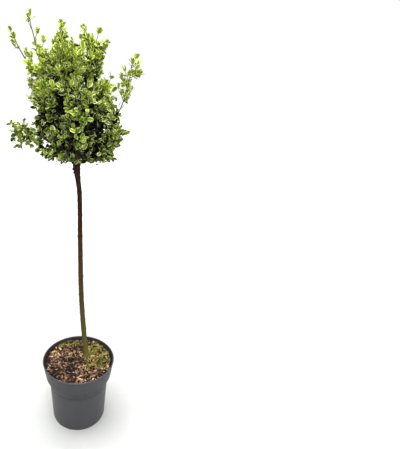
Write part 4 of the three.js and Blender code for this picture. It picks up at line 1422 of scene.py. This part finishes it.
class Gauge(Enum):
    """Thickness of a twig: radius at its start and tip, number of sides, and length of its steps."""

    STEM = (1.6, 0.8, 8, 5.0)
    TWIG = (1.1, 0.6, 6, 6.0)
    SHOOT_TWIG = (0.9, 0.5, 6, 6.0)
    LEADER = (0.75, 0.45, 4, 6.0)
    SPRIG = (0.6, 0.4, 4, 6.0)


class Stem(NamedTuple):
    """The stem of a mass."""

    name: str
    number: int
    course: Course
    shoot: ShootHabit | None


@dataclass(frozen=True)
class Twig:
    """A twig of a mass, and how light its leaves are."""

    number: int
    course: Course
    gauge: Gauge
    growth: Growth = Growth.SPRAY
    vigour: float = 0.0


@dataclass
class CrownSpace:
    """The space of the crown: its outline, the cell of each mass and the limbs that it keeps clear of."""

    limbs: dict[str, Limb]
    middle: Place = (-4.0, 0.0, 800.0)
    gap: float = 0.3
    limb_clearance: float = 1.5
    shoot_reach: float = 36.0

    @cached_property
    def stems(self) -> list[Stem]:
        """Grows the stem of every mass on from its bough's tip.

        Returns:
            The stems, in the order of the masses.
        """
        grown = []
        for number, plan in enumerate(MASSES):
            bough = self.limbs[plan.bough].course
            along = bough.way(1.0)
            start = bough.at(1.0) + along * self.gap
            course = bend(start, along, np.array(plan.tip), np.array(plan.arrive))
            grown.append(Stem(plan.bough, number, course, SHOOTS.get(plan.bough)))
        return grown

    @cached_property
    def stem_points(self) -> Array:
        """Gives 25 points of every stem."""
        return np.array([stem.course.at(np.linspace(0, 1, 25)) for stem in self.stems])

    @cached_property
    def limb_samples(self) -> tuple[Array, Array]:
        """Gives points along all limbs with the radius there."""
        rows = [(limb, np.linspace(0, 1, 41 if limb.parent else 161)) for limb in self.limbs.values()]
        return (np.concatenate([limb.course.at(t) for limb, t in rows]),
                np.concatenate([limb.radius(t) for limb, t in rows]))

    def stem_distances(self, places: Array) -> Array:
        """Gives the distance from each place to each stem, one row a place."""
        return np.stack([np.min(np.linalg.norm(places[:, None] - points[None], axis=-1), axis=1)
                         for points in self.stem_points], axis=-1)

    def limb_distance(self, places: Array) -> Array:
        """Gives the distance from each place to the nearest limb's bark.

        Args:
            places: Places, one a row.

        Returns:
            The distances.
        """
        points, radii = self.limb_samples
        parts = [np.min(np.linalg.norm(part[:, None] - points[None], axis=-1) - radii, axis=1)
                 for part in np.array_split(places, len(places) // 2000 + 1)]
        return np.concatenate(parts)

    def in_outline(self, places: Array) -> Array:
        """Tells which places are inside the crown's outline.

        Args:
            places: Places, one a row.

        Returns:
            True or false for each.
        """
        height = places[:, 2]
        left, right, deep = outline_at(height)
        out = np.hypot((2 * places[:, 0] - left - right) / (right - left), places[:, 1] / deep)
        return (out < 1) & (height >= OUTLINE[0, 0]) & (height < OUTLINE[-1, 0])

    def depth(self, places: Array) -> Array:
        """Gives how far out places lie in the crown: 0 at its middle and 1 on its outline.

        Args:
            places: Places, one a row.

        Returns:
            The depths.
        """
        way = places - self.middle
        low, high = np.zeros(len(places)), np.full(len(places), 6.0)
        for _ in range(12):
            share = (low + high) / 2
            inside = self.in_outline(self.middle + way * share[:, None])
            low, high = np.where(inside, share, low), np.where(inside, high, share)
        return 1 / np.maximum(low, 1e-6)

    def inside(self, number: int | Array, places: Array, share: float, cell: float) -> Array:
        """Tells which places lie in the space of their mass.

        Args:
            number: Number of the mass, or of each place's mass.
            places: Places, one a row.
            share: Share of the crown's or the shoot's reach that they may lie out to.
            cell: How much nearer to their own stem than to any other they are.

        Returns:
            True or false for each.
        """
        numbers = np.broadcast_to(np.asarray(number), (len(places),))
        distances = self.stem_distances(places)
        rows = np.arange(len(places))
        own = distances[rows, numbers]
        distances[rows, numbers] = np.inf
        out = np.where(self.on_shoot(numbers), own / self.shoot_reach, self.depth(places))
        return (out < share) & (distances.min(axis=1) > own + cell)

    def on_shoot(self, numbers: Array) -> Array:
        """Tells which of the masses with these numbers are loose shoots."""
        return np.array([stem.shoot is not None for stem in self.stems])[numbers]


class Leaf(NamedTuple):
    """A leaf: its root, its midrib's way, its length, its youth from 0 to 1, and its twig's traits."""

    root: Array
    way: Array
    size: float
    youth: float
    number: int
    growth: int
    vigour: float


class Foliage(NamedTuple):
    """Many leaves, with one array for each trait of a leaf."""

    roots: Array
    ways: Array
    sizes: Array
    youth: Array
    numbers: Array
    growths: Array
    vigours: Array

    def kept(self, keep: Array) -> "Foliage":
        """Gives the leaves that are kept."""
        return Foliage(*(values[keep] for values in self))


LEAF_ALONG = np.array([0.06, 0.17, 0.36, 0.6, 0.82, 0.95])  # shares of the length where rows of corners lie
LEAF_HALF = np.array([0.1, 0.52, 0.9, 1.0, 0.78, 0.4])  # width there, as a share of the widest
LEAF_STRIPS = (Zone.MARGIN, Zone.BODY, Zone.CENTRE, Zone.CENTRE, Zone.BODY, Zone.MARGIN)


@dataclass
class Crown:
    """The foliage: stems, twigs towards the light, finer side twigs, and pairs of leaves on all of them."""

    space: CrownSpace
    viewpoint: Viewpoint
    spot_spacing: float = 28.5
    spot_shares: Span = (0.78, 0.92)
    twig_back: Span = (0.1, 0.42)
    twig_first: float = 0.13
    twig_last: float = 0.92
    twig_shares: Series = (1.0, 0.84, 0.7)
    twig_shortest: float = 10.0
    twig_depth: float = 0.68
    twig_kept: float = 12.0
    lift_low: float = -0.3
    lift_high: float = 0.6
    shoot_bare: float = 0.3
    shoot_lean: float = math.radians(55)
    cell_clearance: float = 0.8
    sprig_step: float = 8.2
    sprig_last: float = 0.96
    sprig_length: Span = (12.0, 26.0)
    sprig_lean: float = math.radians(48)
    sprig_kept: float = 7.0
    sprig_vigour: float = 0.2
    sprig_taper: Span = (1.15, 0.5)  # share of the length at the parent's root, and what its tip lacks
    sprig_overlap: float = 5.0  # how far they may reach into the space of the next mass
    sprig_rise: Span = (0.1, 0.6)
    rise_more: float = 0.8  # how much more they rise over the upper crown
    rise_heights: Span = (800.0, 900.0)
    droop: float = 0.6  # how much they droop at the crown's foot
    droop_heights: Span = (780.0, 730.0)
    sprig_missing: float = 0.16
    sprig_thinning: float = 0.45  # how many more are missing over the crown's top
    thinning_heights: Span = (915.0, 950.0)
    stem_sprigless: float = 0.12  # shares of the length without side twigs, and without leaves
    twig_sprigless: float = 0.22
    shoot_sprigless: float = 0.4
    stem_leafless: float = 0.15
    twig_leafless: float = 0.3
    sprig_leafless: float = 0.24
    first_vigour: float = 0.05
    leader_vigour: float = 0.3
    vigour_spread: float = 0.48
    pair_step: float = 6.0
    pair_missing: float = 0.06
    inner_step: float = 9.0
    inner_length: Span = (14.0, 28.0)
    inner_depth: float = 0.86
    outer_depth: float = 0.74
    leaf_length: Span = (9.5, 14.8)
    leader_leaf: float = 14.0
    leaf_width: float = 0.7
    leaf_lean: float = math.radians(58)
    leaf_limit: float = 1.08
    leaf_lowest: float = 714.0
    leaf_overlap: float = 9.0
    leaf_clearances: Span = (1.0, 4.5)  # from the limbs, in the crown and on a loose shoot
    hollow_back: float = 20.0
    face_pull: float = 0.62  # how much a leaf's face turns up, and out of the crown
    face_stray: float = 0.62
    light_out: float = 1.75  # painted light and shade, what makes a leaf's colour lighter: its place out of the crown's middle
    light_depths: Span = (0.62, 0.98)
    light_high: float = 1.55  # its height in the upper crown
    high_heights: Span = (808.0, 892.0)
    light_low: float = 0.7  # its height in the lower crown
    low_heights: Span = (700.0, 770.0)
    light_young: float = 0.4
    light_stray: float = 0.6
    tone_limits: Series = (-2.4, -1.82, -1.35, -1.02)
    edge_stray: float = 0.05
    margin_at: Span = (0.79, 0.07)  # places across a leaf: the mean and the stray
    margin_limits: Span = (0.6, 0.94)
    centre_at: Span = (0.4, 0.12)
    centre_limits: Span = (0.15, 0.62)
    fold: Span = (0.2, 0.12)
    fold_limits: Span = (-0.1, 0.5)
    arch: Span = (0.16, 0.12)
    arch_limits: Span = (-0.15, 0.45)
    twist_stray: float = 0.25
    draw: np.random.Generator = field(default_factory=lambda: new_draw(Use.GROWTH))
    leaves: list[Leaf] = field(default_factory=list)

    def spots(self) -> list[tuple[Array, int, int]]:
        """Spreads spots evenly over the crown's outline, by the source's rule.

        Returns:
            Place, key and mass number of each spot.
        """
        profile = Course(np.stack([(OUTLINE[:, 2] - OUTLINE[:, 1] + 2 * OUTLINE[:, 3]) / 4,
                                   OUTLINE[:, 0], np.zeros(len(OUTLINE))], axis=-1))
        rows = round(profile.length / self.spot_spacing)
        found = []
        for row in range(rows):
            height = float(profile.at(row / rows)[1])
            left, right, deep = (float(reach) for reach in outline_at(height))
            count = round(math.pi * ((right - left) / 2 + deep) / self.spot_spacing)
            for i in range(count):
                turn = FULL_TURN * (i + 0.5 * (row % 2) + between(-0.25, 0.25, row, i, 1)) / count
                share = between(*self.spot_shares, row, i, 2)
                across = (left + right) / 2 + share * math.cos(turn) * (right - left) / 2
                place = np.array([across, share * math.sin(turn) * deep, height])
                nearest = int(np.argmin(self.space.stem_distances(place[None])[0]))
                found.append((place, 100 * (row + 1) + i, nearest))
        return found

    def in_circles(self, circles: tuple[Opening, ...], places: Array) -> Array:
        """Tells which places would be seen within circles in the photograph's frame."""
        seen = self.viewpoint.pixels(places)
        return np.any([np.hypot(seen[:, 0] - x, seen[:, 1] - y) < reach for x, y, reach in circles], axis=0)

    def cut_to_sky(self, twigs: list[Twig], room: Array, least: float) -> list[Twig]:
        """Cuts twigs back to where they would first be seen against open sky.

        Args:
            twigs: The twigs.
            room: Whether each has room; the others are dropped.
            least: Shortest length that is kept.

        Returns:
            The twigs that are left.
        """
        kept = []
        for twig in compress(twigs, room):
            points = twig.course.points
            outside = np.flatnonzero(self.in_circles(OPENINGS, points))
            if len(outside) == 0:
                kept.append(twig)
            elif outside[0] >= 3 and twig.course.reach[outside[0]] >= least:
                kept.append(replace(twig, course=Course(points[:outside[0]])))
        return kept

    def has_room(self, stem: Stem, course: Course) -> bool:
        """Tells whether a twig stays clear of limbs, and in the space of its mass.

        Args:
            stem: Stem of the mass.
            course: The twig's course.

        Returns:
            Whether there is room.
        """
        steps = course.at(np.linspace(0, 1, math.ceil(course.length / 2.5) + 1))
        if np.any(self.space.limb_distance(steps) <= self.space.limb_clearance):
            return False
        outer = course.at(np.array([0.35, 0.5, 0.65, 0.8, 0.9, 1.0]))
        return bool(np.all(self.space.inside(stem.number, outer, 1.0, self.cell_clearance)))

    def twig_to_spot(self, stem: Stem, spot: Array, key: int) -> Course | None:
        """Leads a twig from its stem towards a spot, as far as there is room.

        Args:
            stem: Stem of the mass.
            spot: The spot.
            key: The spot's key.

        Returns:
            The twig's course, or None without room.
        """
        points = self.space.stem_points[stem.number]
        nearest = int(np.argmin(np.linalg.norm(points - spot, axis=1))) / (len(points) - 1)
        t = min(max(nearest - between(*self.twig_back, key, 3), self.twig_first), self.twig_last)
        start = stem.course.at(t)
        toward = unit(spot - start)
        leave = toward + stem.course.way(t) * 0.4
        lift = self.lift_low + (self.lift_high - self.lift_low) * float(
            ramp(spot[2], OUTLINE[2, 0], OUTLINE[6, 0]))
        for share in self.twig_shares:
            end = start + (spot - start) * share
            course = bend(start, leave, end, toward + UP * lift, 60)
            lit = stem.shoot is not None or self.space.depth(end[None])[0] > self.twig_depth
            if lit and course.length > self.twig_shortest and self.has_room(stem, course):
                return course
        return None

    def shoot_twig(self, stem: Stem, k: int) -> Course | None:
        """Leads a side twig out of a loose shoot at the golden angle.

        Args:
            stem: The shoot's stem.
            k: Number of the twig.

        Returns:
            The twig's course, or None without room.
        """
        t = self.shoot_bare + (self.twig_last - self.shoot_bare) * (k + 0.5) / stem.shoot.twigs
        start, along, side = stem.course.fork(t, k * GOLDEN_ANGLE + FULL_TURN * chance(stem.number, 1))
        leave = leaning(along, side, self.shoot_lean)
        end = start + leave * stem.shoot.length * between(0.8, 1.2, stem.number, k, 4)
        course = bend(start, leave, end, leave + UP * self.lift_high, 60)
        return course if self.has_room(stem, course) else None

    def first_twigs(self) -> list[Twig]:
        """Grows the twigs that the source grows.

        Returns:
            The twigs.
        """
        grown = []
        for place, key, number in self.spots():
            course = self.twig_to_spot(self.space.stems[number], place, key)
            if course is not None:
                vigour = self.draw.normal(self.first_vigour, self.vigour_spread)
                grown.append(Twig(number, course, Gauge.TWIG, vigour=vigour))
        for stem in self.space.stems:
            for k in range(stem.shoot.twigs if stem.shoot else 0):
                course = self.shoot_twig(stem, k)
                if course is not None:
                    grown.append(Twig(stem.number, course, Gauge.SHOOT_TWIG))
        return self.cut_to_sky(grown, np.full(len(grown), True), self.twig_kept)

    def sprigs(self, parent: Twig, first: float) -> list[Twig]:
        """Grows finer side twigs in opposite pairs, each pair square to the last.

        Args:
            parent: Twig or stem that they grow from.
            first: Share of its length where they start.

        Returns:
            The side twigs that have room.
        """
        draw, found = self.draw, []
        spread = self.vigour_spread if parent.gauge is Gauge.STEM else self.sprig_vigour
        count = max(1, round(parent.course.length * (self.sprig_last - first) / self.sprig_step))
        turn = draw.uniform(0, FULL_TURN)
        for k, share in enumerate(first + (self.sprig_last - first) * (np.arange(count) + 0.5) / count):
            height = parent.course.at(share)[2]
            missing = self.sprig_missing + self.sprig_thinning * ramp(height, *self.thinning_heights)
            for side_turn in (0.0, math.pi):
                if draw.random() < missing:
                    continue
                start, along, side = parent.course.fork(
                    share, turn + k * SQUARE_TURN + side_turn + draw.normal(0, 0.25))
                leave = leaning(along, side, self.sprig_lean + draw.normal(0, 0.14))
                length = draw.uniform(*self.sprig_length) * (
                    self.sprig_taper[0] - self.sprig_taper[1] * share)
                rise = (draw.uniform(*self.sprig_rise) + self.rise_more * ramp(height, *self.rise_heights)
                        - self.droop * ramp(height, *self.droop_heights))
                arrive = unit(leave + along * 0.25 + UP * rise)
                end = start + unit(leave + arrive) * length
                found.append(Twig(parent.number, bend(start, leave, end, arrive, 16), Gauge.SPRIG,
                                  vigour=parent.vigour + draw.normal(0, spread)))
        if not found:
            return found
        outer = np.concatenate([twig.course.at(np.array([0.4, 0.7, 1.0])) for twig in found])
        room = (self.space.inside(parent.number, outer, 1.02, -self.sprig_overlap)
                & (self.space.limb_distance(outer) > self.space.limb_clearance))
        return self.cut_to_sky(found, room.reshape(-1, 3).all(axis=1), self.sprig_kept)

    def inner_sprigs(self) -> list[Twig]:
        """Grows short side twigs with old leaves along the boughs, inside the crown.

        Returns:
            The side twigs that have room.
        """
        draw, found = self.draw, []
        for stem in self.space.stems:
            course = self.space.limbs[stem.name].course
            count = round(course.length * 0.85 / self.inner_step)
            turn = draw.uniform(0, FULL_TURN)
            for k, share in enumerate(0.15 + 0.85 * (np.arange(count) + 0.5) / count):
                for side_turn in (0.0, math.pi):
                    start, along, side = course.fork(share, turn + k * GOLDEN_ANGLE + side_turn)
                    leave = unit(side + along * draw.uniform(0.2, 0.7))
                    end = start + (leave + UP * draw.uniform(-0.1, 0.3)) * draw.uniform(*self.inner_length)
                    found.append(Twig(stem.number, bend(start, leave, end, leave + UP * 0.3, 16),
                                      Gauge.SPRIG, Growth.INNER))
        ends = np.array([twig.course.at(1.0) for twig in found])
        room = (self.space.depth(ends) < self.inner_depth) & (self.space.limb_distance(ends) > 2.0)
        return self.cut_to_sky(found, room, self.sprig_kept)

    def leaf_pair(self, twig: Twig, share: float, turn: float, lean: float, size: float,
                  youth: float) -> None:
        """Adds an opposite pair of leaves.

        Args:
            twig: Twig that they grow on.
            share: Share of its length where they stand.
            turn: Turn of the pair about the twig.
            lean: Angle between leaf and twig.
            size: Length of the leaves.
            youth: 1 for the youngest leaves of the spray and 0 for old ones.
        """
        place, along, side = twig.course.fork(share, turn)
        tip_radius = twig.gauge.value[1]
        for out in (side, -side):
            way = (leaning(along, out, lean + self.draw.normal(0, 0.14))
                   + UP * self.draw.uniform(0.0, 0.35))
            self.leaves.append(Leaf(
                place + unit(out) * tip_radius * 0.6, unit(way), size * self.draw.uniform(0.88, 1.1), youth,
                twig.number, twig.growth.value, twig.vigour))

    def twig_leaves(self, twig: Twig, first: float) -> None:
        """Sets pairs of leaves along a twig, and a close pair and a young one at its tip.

        Args:
            twig: The twig.
            first: Share of its length where they start.
        """
        draw, lean = self.draw, self.leaf_lean
        count = max(1, round(twig.course.length * (1 - first) / self.pair_step))
        turn = draw.uniform(0, FULL_TURN)
        size = draw.uniform(*self.leaf_length)
        for k in range(count):
            if draw.random() < self.pair_missing:
                continue
            self.leaf_pair(twig, first + (0.97 - first) * k / count,
                           turn + k * SQUARE_TURN + draw.normal(0, 0.2), lean,
                           size * draw.uniform(0.85, 1.1), k / count)
        self.leaf_pair(twig, 0.99, turn + count * SQUARE_TURN, lean * 0.72, size, 1.0)
        self.leaf_pair(twig, 1.0, turn + (count + 1) * SQUARE_TURN, lean * 0.4,
                       size * draw.uniform(0.45, 0.75), 1.0)

    def leader(self, plan: Leader) -> Twig:
        """Grows a shoot that leads on past its stem's tip, and its leaves.

        Args:
            plan: Where it grows and ends, and its number of pairs of leaves.

        Returns:
            The shoot.
        """
        stem = next(stem for stem in self.space.stems if stem.name == plan.mass)
        start, along = stem.course.at(plan.at), stem.course.way(plan.at)
        aim = np.array(plan.tip)
        end = aim - unit(aim - start) * self.leader_leaf * 0.55
        course = bend(start, along + unit(end - start), end, end - start + UP * 6, 24)
        twig = Twig(stem.number, course, Gauge.LEADER, Growth.LEADER, self.leader_vigour)
        for k in range(plan.pairs):
            self.leaf_pair(twig, 1 - k / plan.pairs, k * SQUARE_TURN + 0.4,
                           self.leaf_lean * (0.9 if k else 0.6), self.leader_leaf, 1.0)
        self.leaf_pair(twig, 1.0, 0.4 + SQUARE_TURN, self.leaf_lean * 0.3, 8.0, 1.0)
        return twig

    def grow(self) -> list[Twig]:
        """Grows all twigs and leaves.

        Returns:
            The twigs, stems among them.
        """
        twigs, finer = self.first_twigs(), []
        report.info("%d twigs by the source's rule", len(twigs))
        for twig in twigs:
            self.twig_leaves(twig, self.twig_leafless)
            loose = self.space.stems[twig.number].shoot is not None
            finer += self.sprigs(twig, self.shoot_sprigless if loose else self.twig_sprigless)
        for stem in self.space.stems:
            trunk = Twig(stem.number, stem.course, Gauge.STEM)
            twigs.append(trunk)
            if stem.shoot is None:
                finer += self.sprigs(trunk, self.stem_sprigless)
                self.twig_leaves(trunk, self.stem_leafless)
                continue
            for k, share in enumerate(stem.shoot.pairs):
                self.leaf_pair(trunk, share, k * SQUARE_TURN + 0.5, self.leaf_lean * 0.8,
                               9.5 if share > 0.6 else 13.0, share)
        finer += self.inner_sprigs()
        for twig in finer:
            self.twig_leaves(twig, self.sprig_leafless)
        finer += [self.leader(plan) for plan in LEADERS]
        report.info("%d finer twigs", len(finer))
        return twigs + finer

    def fitting_leaves(self) -> Foliage:
        """Drops the leaves that leave their space, show against open sky or cover a dark hollow.

        Returns:
            The leaves that are kept.
        """
        leaves = Foliage(*(np.array(values) for values in zip(*self.leaves)))
        reach = leaves.ways * leaves.sizes[:, None]
        tips, middles = leaves.roots + reach, leaves.roots + reach * 0.5
        depth, on_shoot = self.space.depth(middles), self.space.on_shoot(leaves.numbers)
        covered = ~self.in_circles(OPENINGS, middles)
        hollow = (depth > self.outer_depth) & self.in_circles(HOLLOWS, middles) & (
            middles[:, 1] < self.hollow_back)
        spray = (self.space.inside(leaves.numbers, middles, self.leaf_limit, -self.leaf_overlap) & ~hollow
                 & covered & ~self.in_circles(OPENINGS, tips) & (tips[:, 2] > self.leaf_lowest)
                 & (on_shoot | (self.space.depth(tips) < self.leaf_limit + 0.08)))
        inner = (depth < self.inner_depth) & covered & (tips[:, 2] > self.leaf_lowest + 2)
        return leaves.kept(
            (self.space.limb_distance(middles) > np.take(self.leaf_clearances, on_shoot.astype(int)))
            & (self.space.limb_distance(tips) > 0.5)
            & np.choose(leaves.growths, [spray, np.full(len(tips), True), inner]))

    def faces(self, leaves: Foliage) -> Array:
        """Turns the leaves' faces to the light.

        Args:
            leaves: The leaves.

        Returns:
            The unit direction that each face looks in.
        """
        out = unit(leaves.roots - self.space.middle)
        stray = self.draw.normal(0, self.face_stray, leaves.roots.shape)
        faces = UP * self.face_pull + out * self.face_pull + stray
        return unit(faces - leaves.ways * np.sum(faces * leaves.ways, axis=1, keepdims=True))

    def tones(self, leaves: Foliage) -> Array:
        """Deals out the tones by spray as painted light and shade: lime outside and on top, deeper and darker
        inside and below.

        Args:
            leaves: The leaves.

        Returns:
            Tone number of each leaf.
        """
        height = leaves.roots[:, 2]
        light = (self.light_out * ramp(self.space.depth(leaves.roots), *self.light_depths)
                 + self.light_high * ramp(height, *self.high_heights)
                 + self.light_low * ramp(height, *self.low_heights) - self.light_low
                 + self.light_young * leaves.youth + leaves.vigours
                 + self.draw.normal(0, self.light_stray, len(height)))
        return np.digitize(-light, self.tone_limits)

    def leaf_corners(self, leaves: Foliage, faces: Array, draw: np.random.Generator) -> Array:
        """Shapes many leaves in one go: folded, arched ovals.

        Args:
            leaves: The leaves.
            faces: Direction that each face looks in.
            draw: Source of chance.

        Returns:
            Each leaf's corners: its root, those of each row from side to side, and its tip.
        """
        sizes, count, rows = leaves.sizes, len(leaves.sizes), len(LEAF_ALONG)
        edge = LEAF_HALF * (1 + draw.normal(0, self.edge_stray, (count, rows)))
        margin = np.clip(draw.normal(*self.margin_at, (count, rows)), *self.margin_limits)
        centre = np.clip(draw.normal(*self.centre_at, (count, rows)), *self.centre_limits)
        one = np.ones((count, rows))
        across = np.stack([-one, -margin, -centre, 0 * one, centre, margin, one], axis=-1) * edge[..., None]
        width = sizes * self.leaf_width * draw.uniform(0.88, 1.1, count) / 2
        fold = np.clip(draw.normal(*self.fold, count), *self.fold_limits)
        arch = np.clip(draw.normal(*self.arch, count), *self.arch_limits)
        twist = draw.normal(0, self.twist_stray, count)
        stations = np.concatenate([[0.0], LEAF_ALONG, [1.0]])
        drop = -arch[:, None] * stations[None] ** 2 * sizes[:, None] * 0.8
        lift = (np.abs(across) * fold[:, None, None]
                + across * LEAF_ALONG[None, :, None] * twist[:, None, None]) * width[:, None, None]
        root, way, face = leaves.roots[:, None], leaves.ways[:, None], faces[:, None]
        side = np.cross(face, way)
        spine = root + way * (stations[None] * sizes[:, None])[..., None] + face * drop[..., None]
        blade = (spine[:, 1:-1, None] + side[:, :, None] * (across * width[:, None, None])[..., None]
                 + face[:, :, None] * lift[..., None])
        return np.concatenate([spine[:, :1], blade.reshape(count, -1, 3), spine[:, -1:]], axis=1)

    def leaf_bodies(self, leaves: Foliage, faces: Array, tones: Array) -> tuple[Body, Array, Array]:
        """Makes the leaves of a mass, with a pale margin and a darker centre.

        Args:
            leaves: The leaves.
            faces: Direction that each face looks in.
            tones: Tone number of each leaf.

        Returns:
            The leaves as one body, and the finish of its quads and of its triangles.
        """
        corners = self.leaf_corners(leaves, faces, new_draw(Use.LEAF_SHAPES, int(leaves.numbers[0])))
        rows, strips = len(LEAF_ALONG), len(LEAF_STRIPS)
        strip, wide = np.arange(strips), strips + 1
        quads = np.concatenate([
            1 + r * wide + np.stack([strip, strip + 1, strip + wide + 1, strip + wide], axis=-1)
            for r in range(rows - 1)])
        last = 1 + (rows - 1) * wide
        triangles = np.concatenate([
            np.stack([np.zeros(strips, int), 2 + strip, 1 + strip], axis=-1),
            np.stack([last + strip, last + 1 + strip, np.full(strips, last + wide)], axis=-1)])
        starts = (np.arange(len(tones)) * corners.shape[1])[:, None, None]
        zones = np.array([zone.value for zone in LEAF_STRIPS])
        quad_finish, triangle_finish = (
            (tones[:, None] * len(Zone) + np.tile(zones, times)[None]).ravel() for times in (rows - 1, 2))
        body = Body(corners.reshape(-1, 3), (quads[None] + starts).reshape(-1, 4),
                    (triangles[None] + starts).reshape(-1, 3))
        return body, quad_finish, triangle_finish

    def twig_piece(self, stem: Stem, twigs: list[Twig], bark: Material) -> None:
        """Makes the twigs of a mass.

        Args:
            stem: Stem of the mass.
            twigs: All twigs.
            bark: Their material.
        """
        pile = Pile()
        for twig in twigs:
            if twig.number == stem.number:
                radius, tip_radius, sides, step = twig.gauge.value
                shares = np.linspace(0, 1, max(3, round(twig.course.length / step) + 1))
                pile.add(bar(twig.course.at(shares), radius + (tip_radius - radius) * shares, sides))
        pile.piece(f"twigs_{stem.name}", [bark])

    def build(self) -> None:
        """Grows the crown and builds a piece of twigs and a piece of leaves for every mass."""
        twigs, leaves = self.grow(), self.fitting_leaves()
        faces, tones = self.faces(leaves), self.tones(leaves)
        report.info("%d of %d leaves have room", len(tones), len(self.leaves))
        bark = Crumbled("twig_bark", "3a3419", "6a6a2e", 2.6, depth=0.25, roughness=0.7).make()
        skins = leaf_materials()
        for stem in self.space.stems:
            self.twig_piece(stem, twigs, bark)
            chosen = leaves.numbers == stem.number
            bodies = self.leaf_bodies(leaves.kept(chosen), faces[chosen], tones[chosen])
            piece = Pile().add(*bodies).piece(f"leaves_{stem.name}", skins)
            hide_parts(f"foliage_{stem.name}")


# Studio.


@dataclass
class Studio:
    """Pale floor, soft light and the camera."""

    viewpoint: Viewpoint
    sensor: float = 36.0
    clip: Span = (0.01, 200.0)
    floor_rings: Series = (0.0, 400.0, 900.0, 2500.0, 8000.0, 30000.0)
    floor_thickness: float = 59.0
    floor_sides: int = 96
    dome_low: float = 0.04
    dome_rim: float = 0.9
    dome_high: float = 0.45
    dome_edge: float = 0.04  # sine of the height up to which the floor's side fades into the rim
    dome_fade: Span = (0.2, 0.5)  # sines of the heights between which the rim fades into the top
    aim: Place = (0.0, 0.0, 0.5)  # in metres, as the lights' places and sizes are
    lights: tuple[tuple[str, Place, float, float], ...] = (  # name, place, side and watts
        ("key", (-0.15, 0.1, 2.6), 2.0, 112.0), ("fill", (0.4, -1.9, 1.2), 1.0, 22.0))

    def camera(self) -> None:
        """Sets up the camera."""
        view = self.viewpoint
        data = bpy.data.cameras.new("camera")
        data.sensor_width = self.sensor
        data.lens = view.lens_pixels * self.sensor / view.long_side
        data.shift_x = (view.middle_x - view.axis_x) / view.long_side
        data.clip_start, data.clip_end = self.clip
        right, upward, ahead = view.axes
        made = bpy.data.objects.new("camera", data)
        spin = Matrix(np.stack([right, upward, -ahead], axis=-1).tolist()).to_4x4()
        made.matrix_world = Matrix.Translation(Vector(view.place) * MM) @ spin
        bpy.context.scene.collection.objects.link(made)
        bpy.context.scene.camera = made

    def light(self, name: str, place: Place, size: float, watts: float) -> None:
        """Hangs a soft square light that faces the plant.

        Args:
            name: Name of the light.
            place: Where it hangs, in metres.
            size: Side of the square in metres.
            watts: Its power.
        """
        data = bpy.data.lights.new(name, "AREA")
        data.size, data.energy = size, watts
        made = bpy.data.objects.new(name, data)
        made.location = place
        made.rotation_euler = (Vector(self.aim) - Vector(place)).to_track_quat("-Z", "Y").to_euler()
        bpy.context.scene.collection.objects.link(made)

    def dome(self) -> None:
        """Sets up the dome of light, dark below the floor's level, behind a plain white backdrop."""
        world = bpy.data.worlds.new("studio")
        world.use_nodes = True
        tree = world.node_tree
        way = add_node(tree, "TexCoord", output="Generated")
        height = add_node(tree, "SeparateXYZ", {"Vector": way}, output="Z")
        foot = add_node(tree, "MapRange", {
            "Value": height, "From Min": -self.dome_edge, "From Max": self.dome_edge,
            "To Min": self.dome_low, "To Max": self.dome_rim})
        start, end = self.dome_fade
        head = add_node(tree, "MapRange", {
            "Value": height, "From Min": start, "From Max": end, "To Min": 1.0, "To Max": self.dome_high})
        light = add_node(tree, "Math", {0: foot, 1: head}, operation="MULTIPLY")
        backdrop = add_node(tree, "LightPath", output="Is Camera Ray")
        strength = add_node(tree, "Mix", {"Factor": backdrop, "A": light, "B": 1.0}, data_type="FLOAT")
        feed(tree.nodes["Background"], {"Color": linear("ffffff"), "Strength": strength})
        bpy.context.scene.world = world

    def floor(self) -> None:
        """Lays the floor, which throws no light back up on the plant."""
        edge, foot = self.floor_rings[-1], -1.0 - self.floor_thickness
        profile = np.array([(0.0, foot), (edge, foot)] + [(r, -1.0) for r in reversed(self.floor_rings)])
        made = Pile().add(lathe(profile, self.floor_sides)).piece("floor", [PaintedBoard().make()])
        made.location.z = MM
        made.visible_diffuse = False

    def build(self) -> None:
        """Sets up the camera, the floor and the light."""
        self.camera()
        self.floor()
        self.dome()
        for light in self.lights:
            self.light(*light)
        bpy.context.scene.view_settings.view_transform = "Standard"


def main() -> None:
    """Builds the plant, its pot and the studio."""
    logging.basicConfig(level=logging.INFO, format="%(message)s")
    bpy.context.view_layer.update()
    wood, pot, viewpoint = WoodyFrame(), NurseryPot(), Viewpoint()
    pot.build()
    CompostFill(pot, wood.foot).build()
    wood.build()
    Crown(CrownSpace(wood.limbs), viewpoint).build()
    Studio(viewpoint).build()


if __name__ == "__main__":
    main()
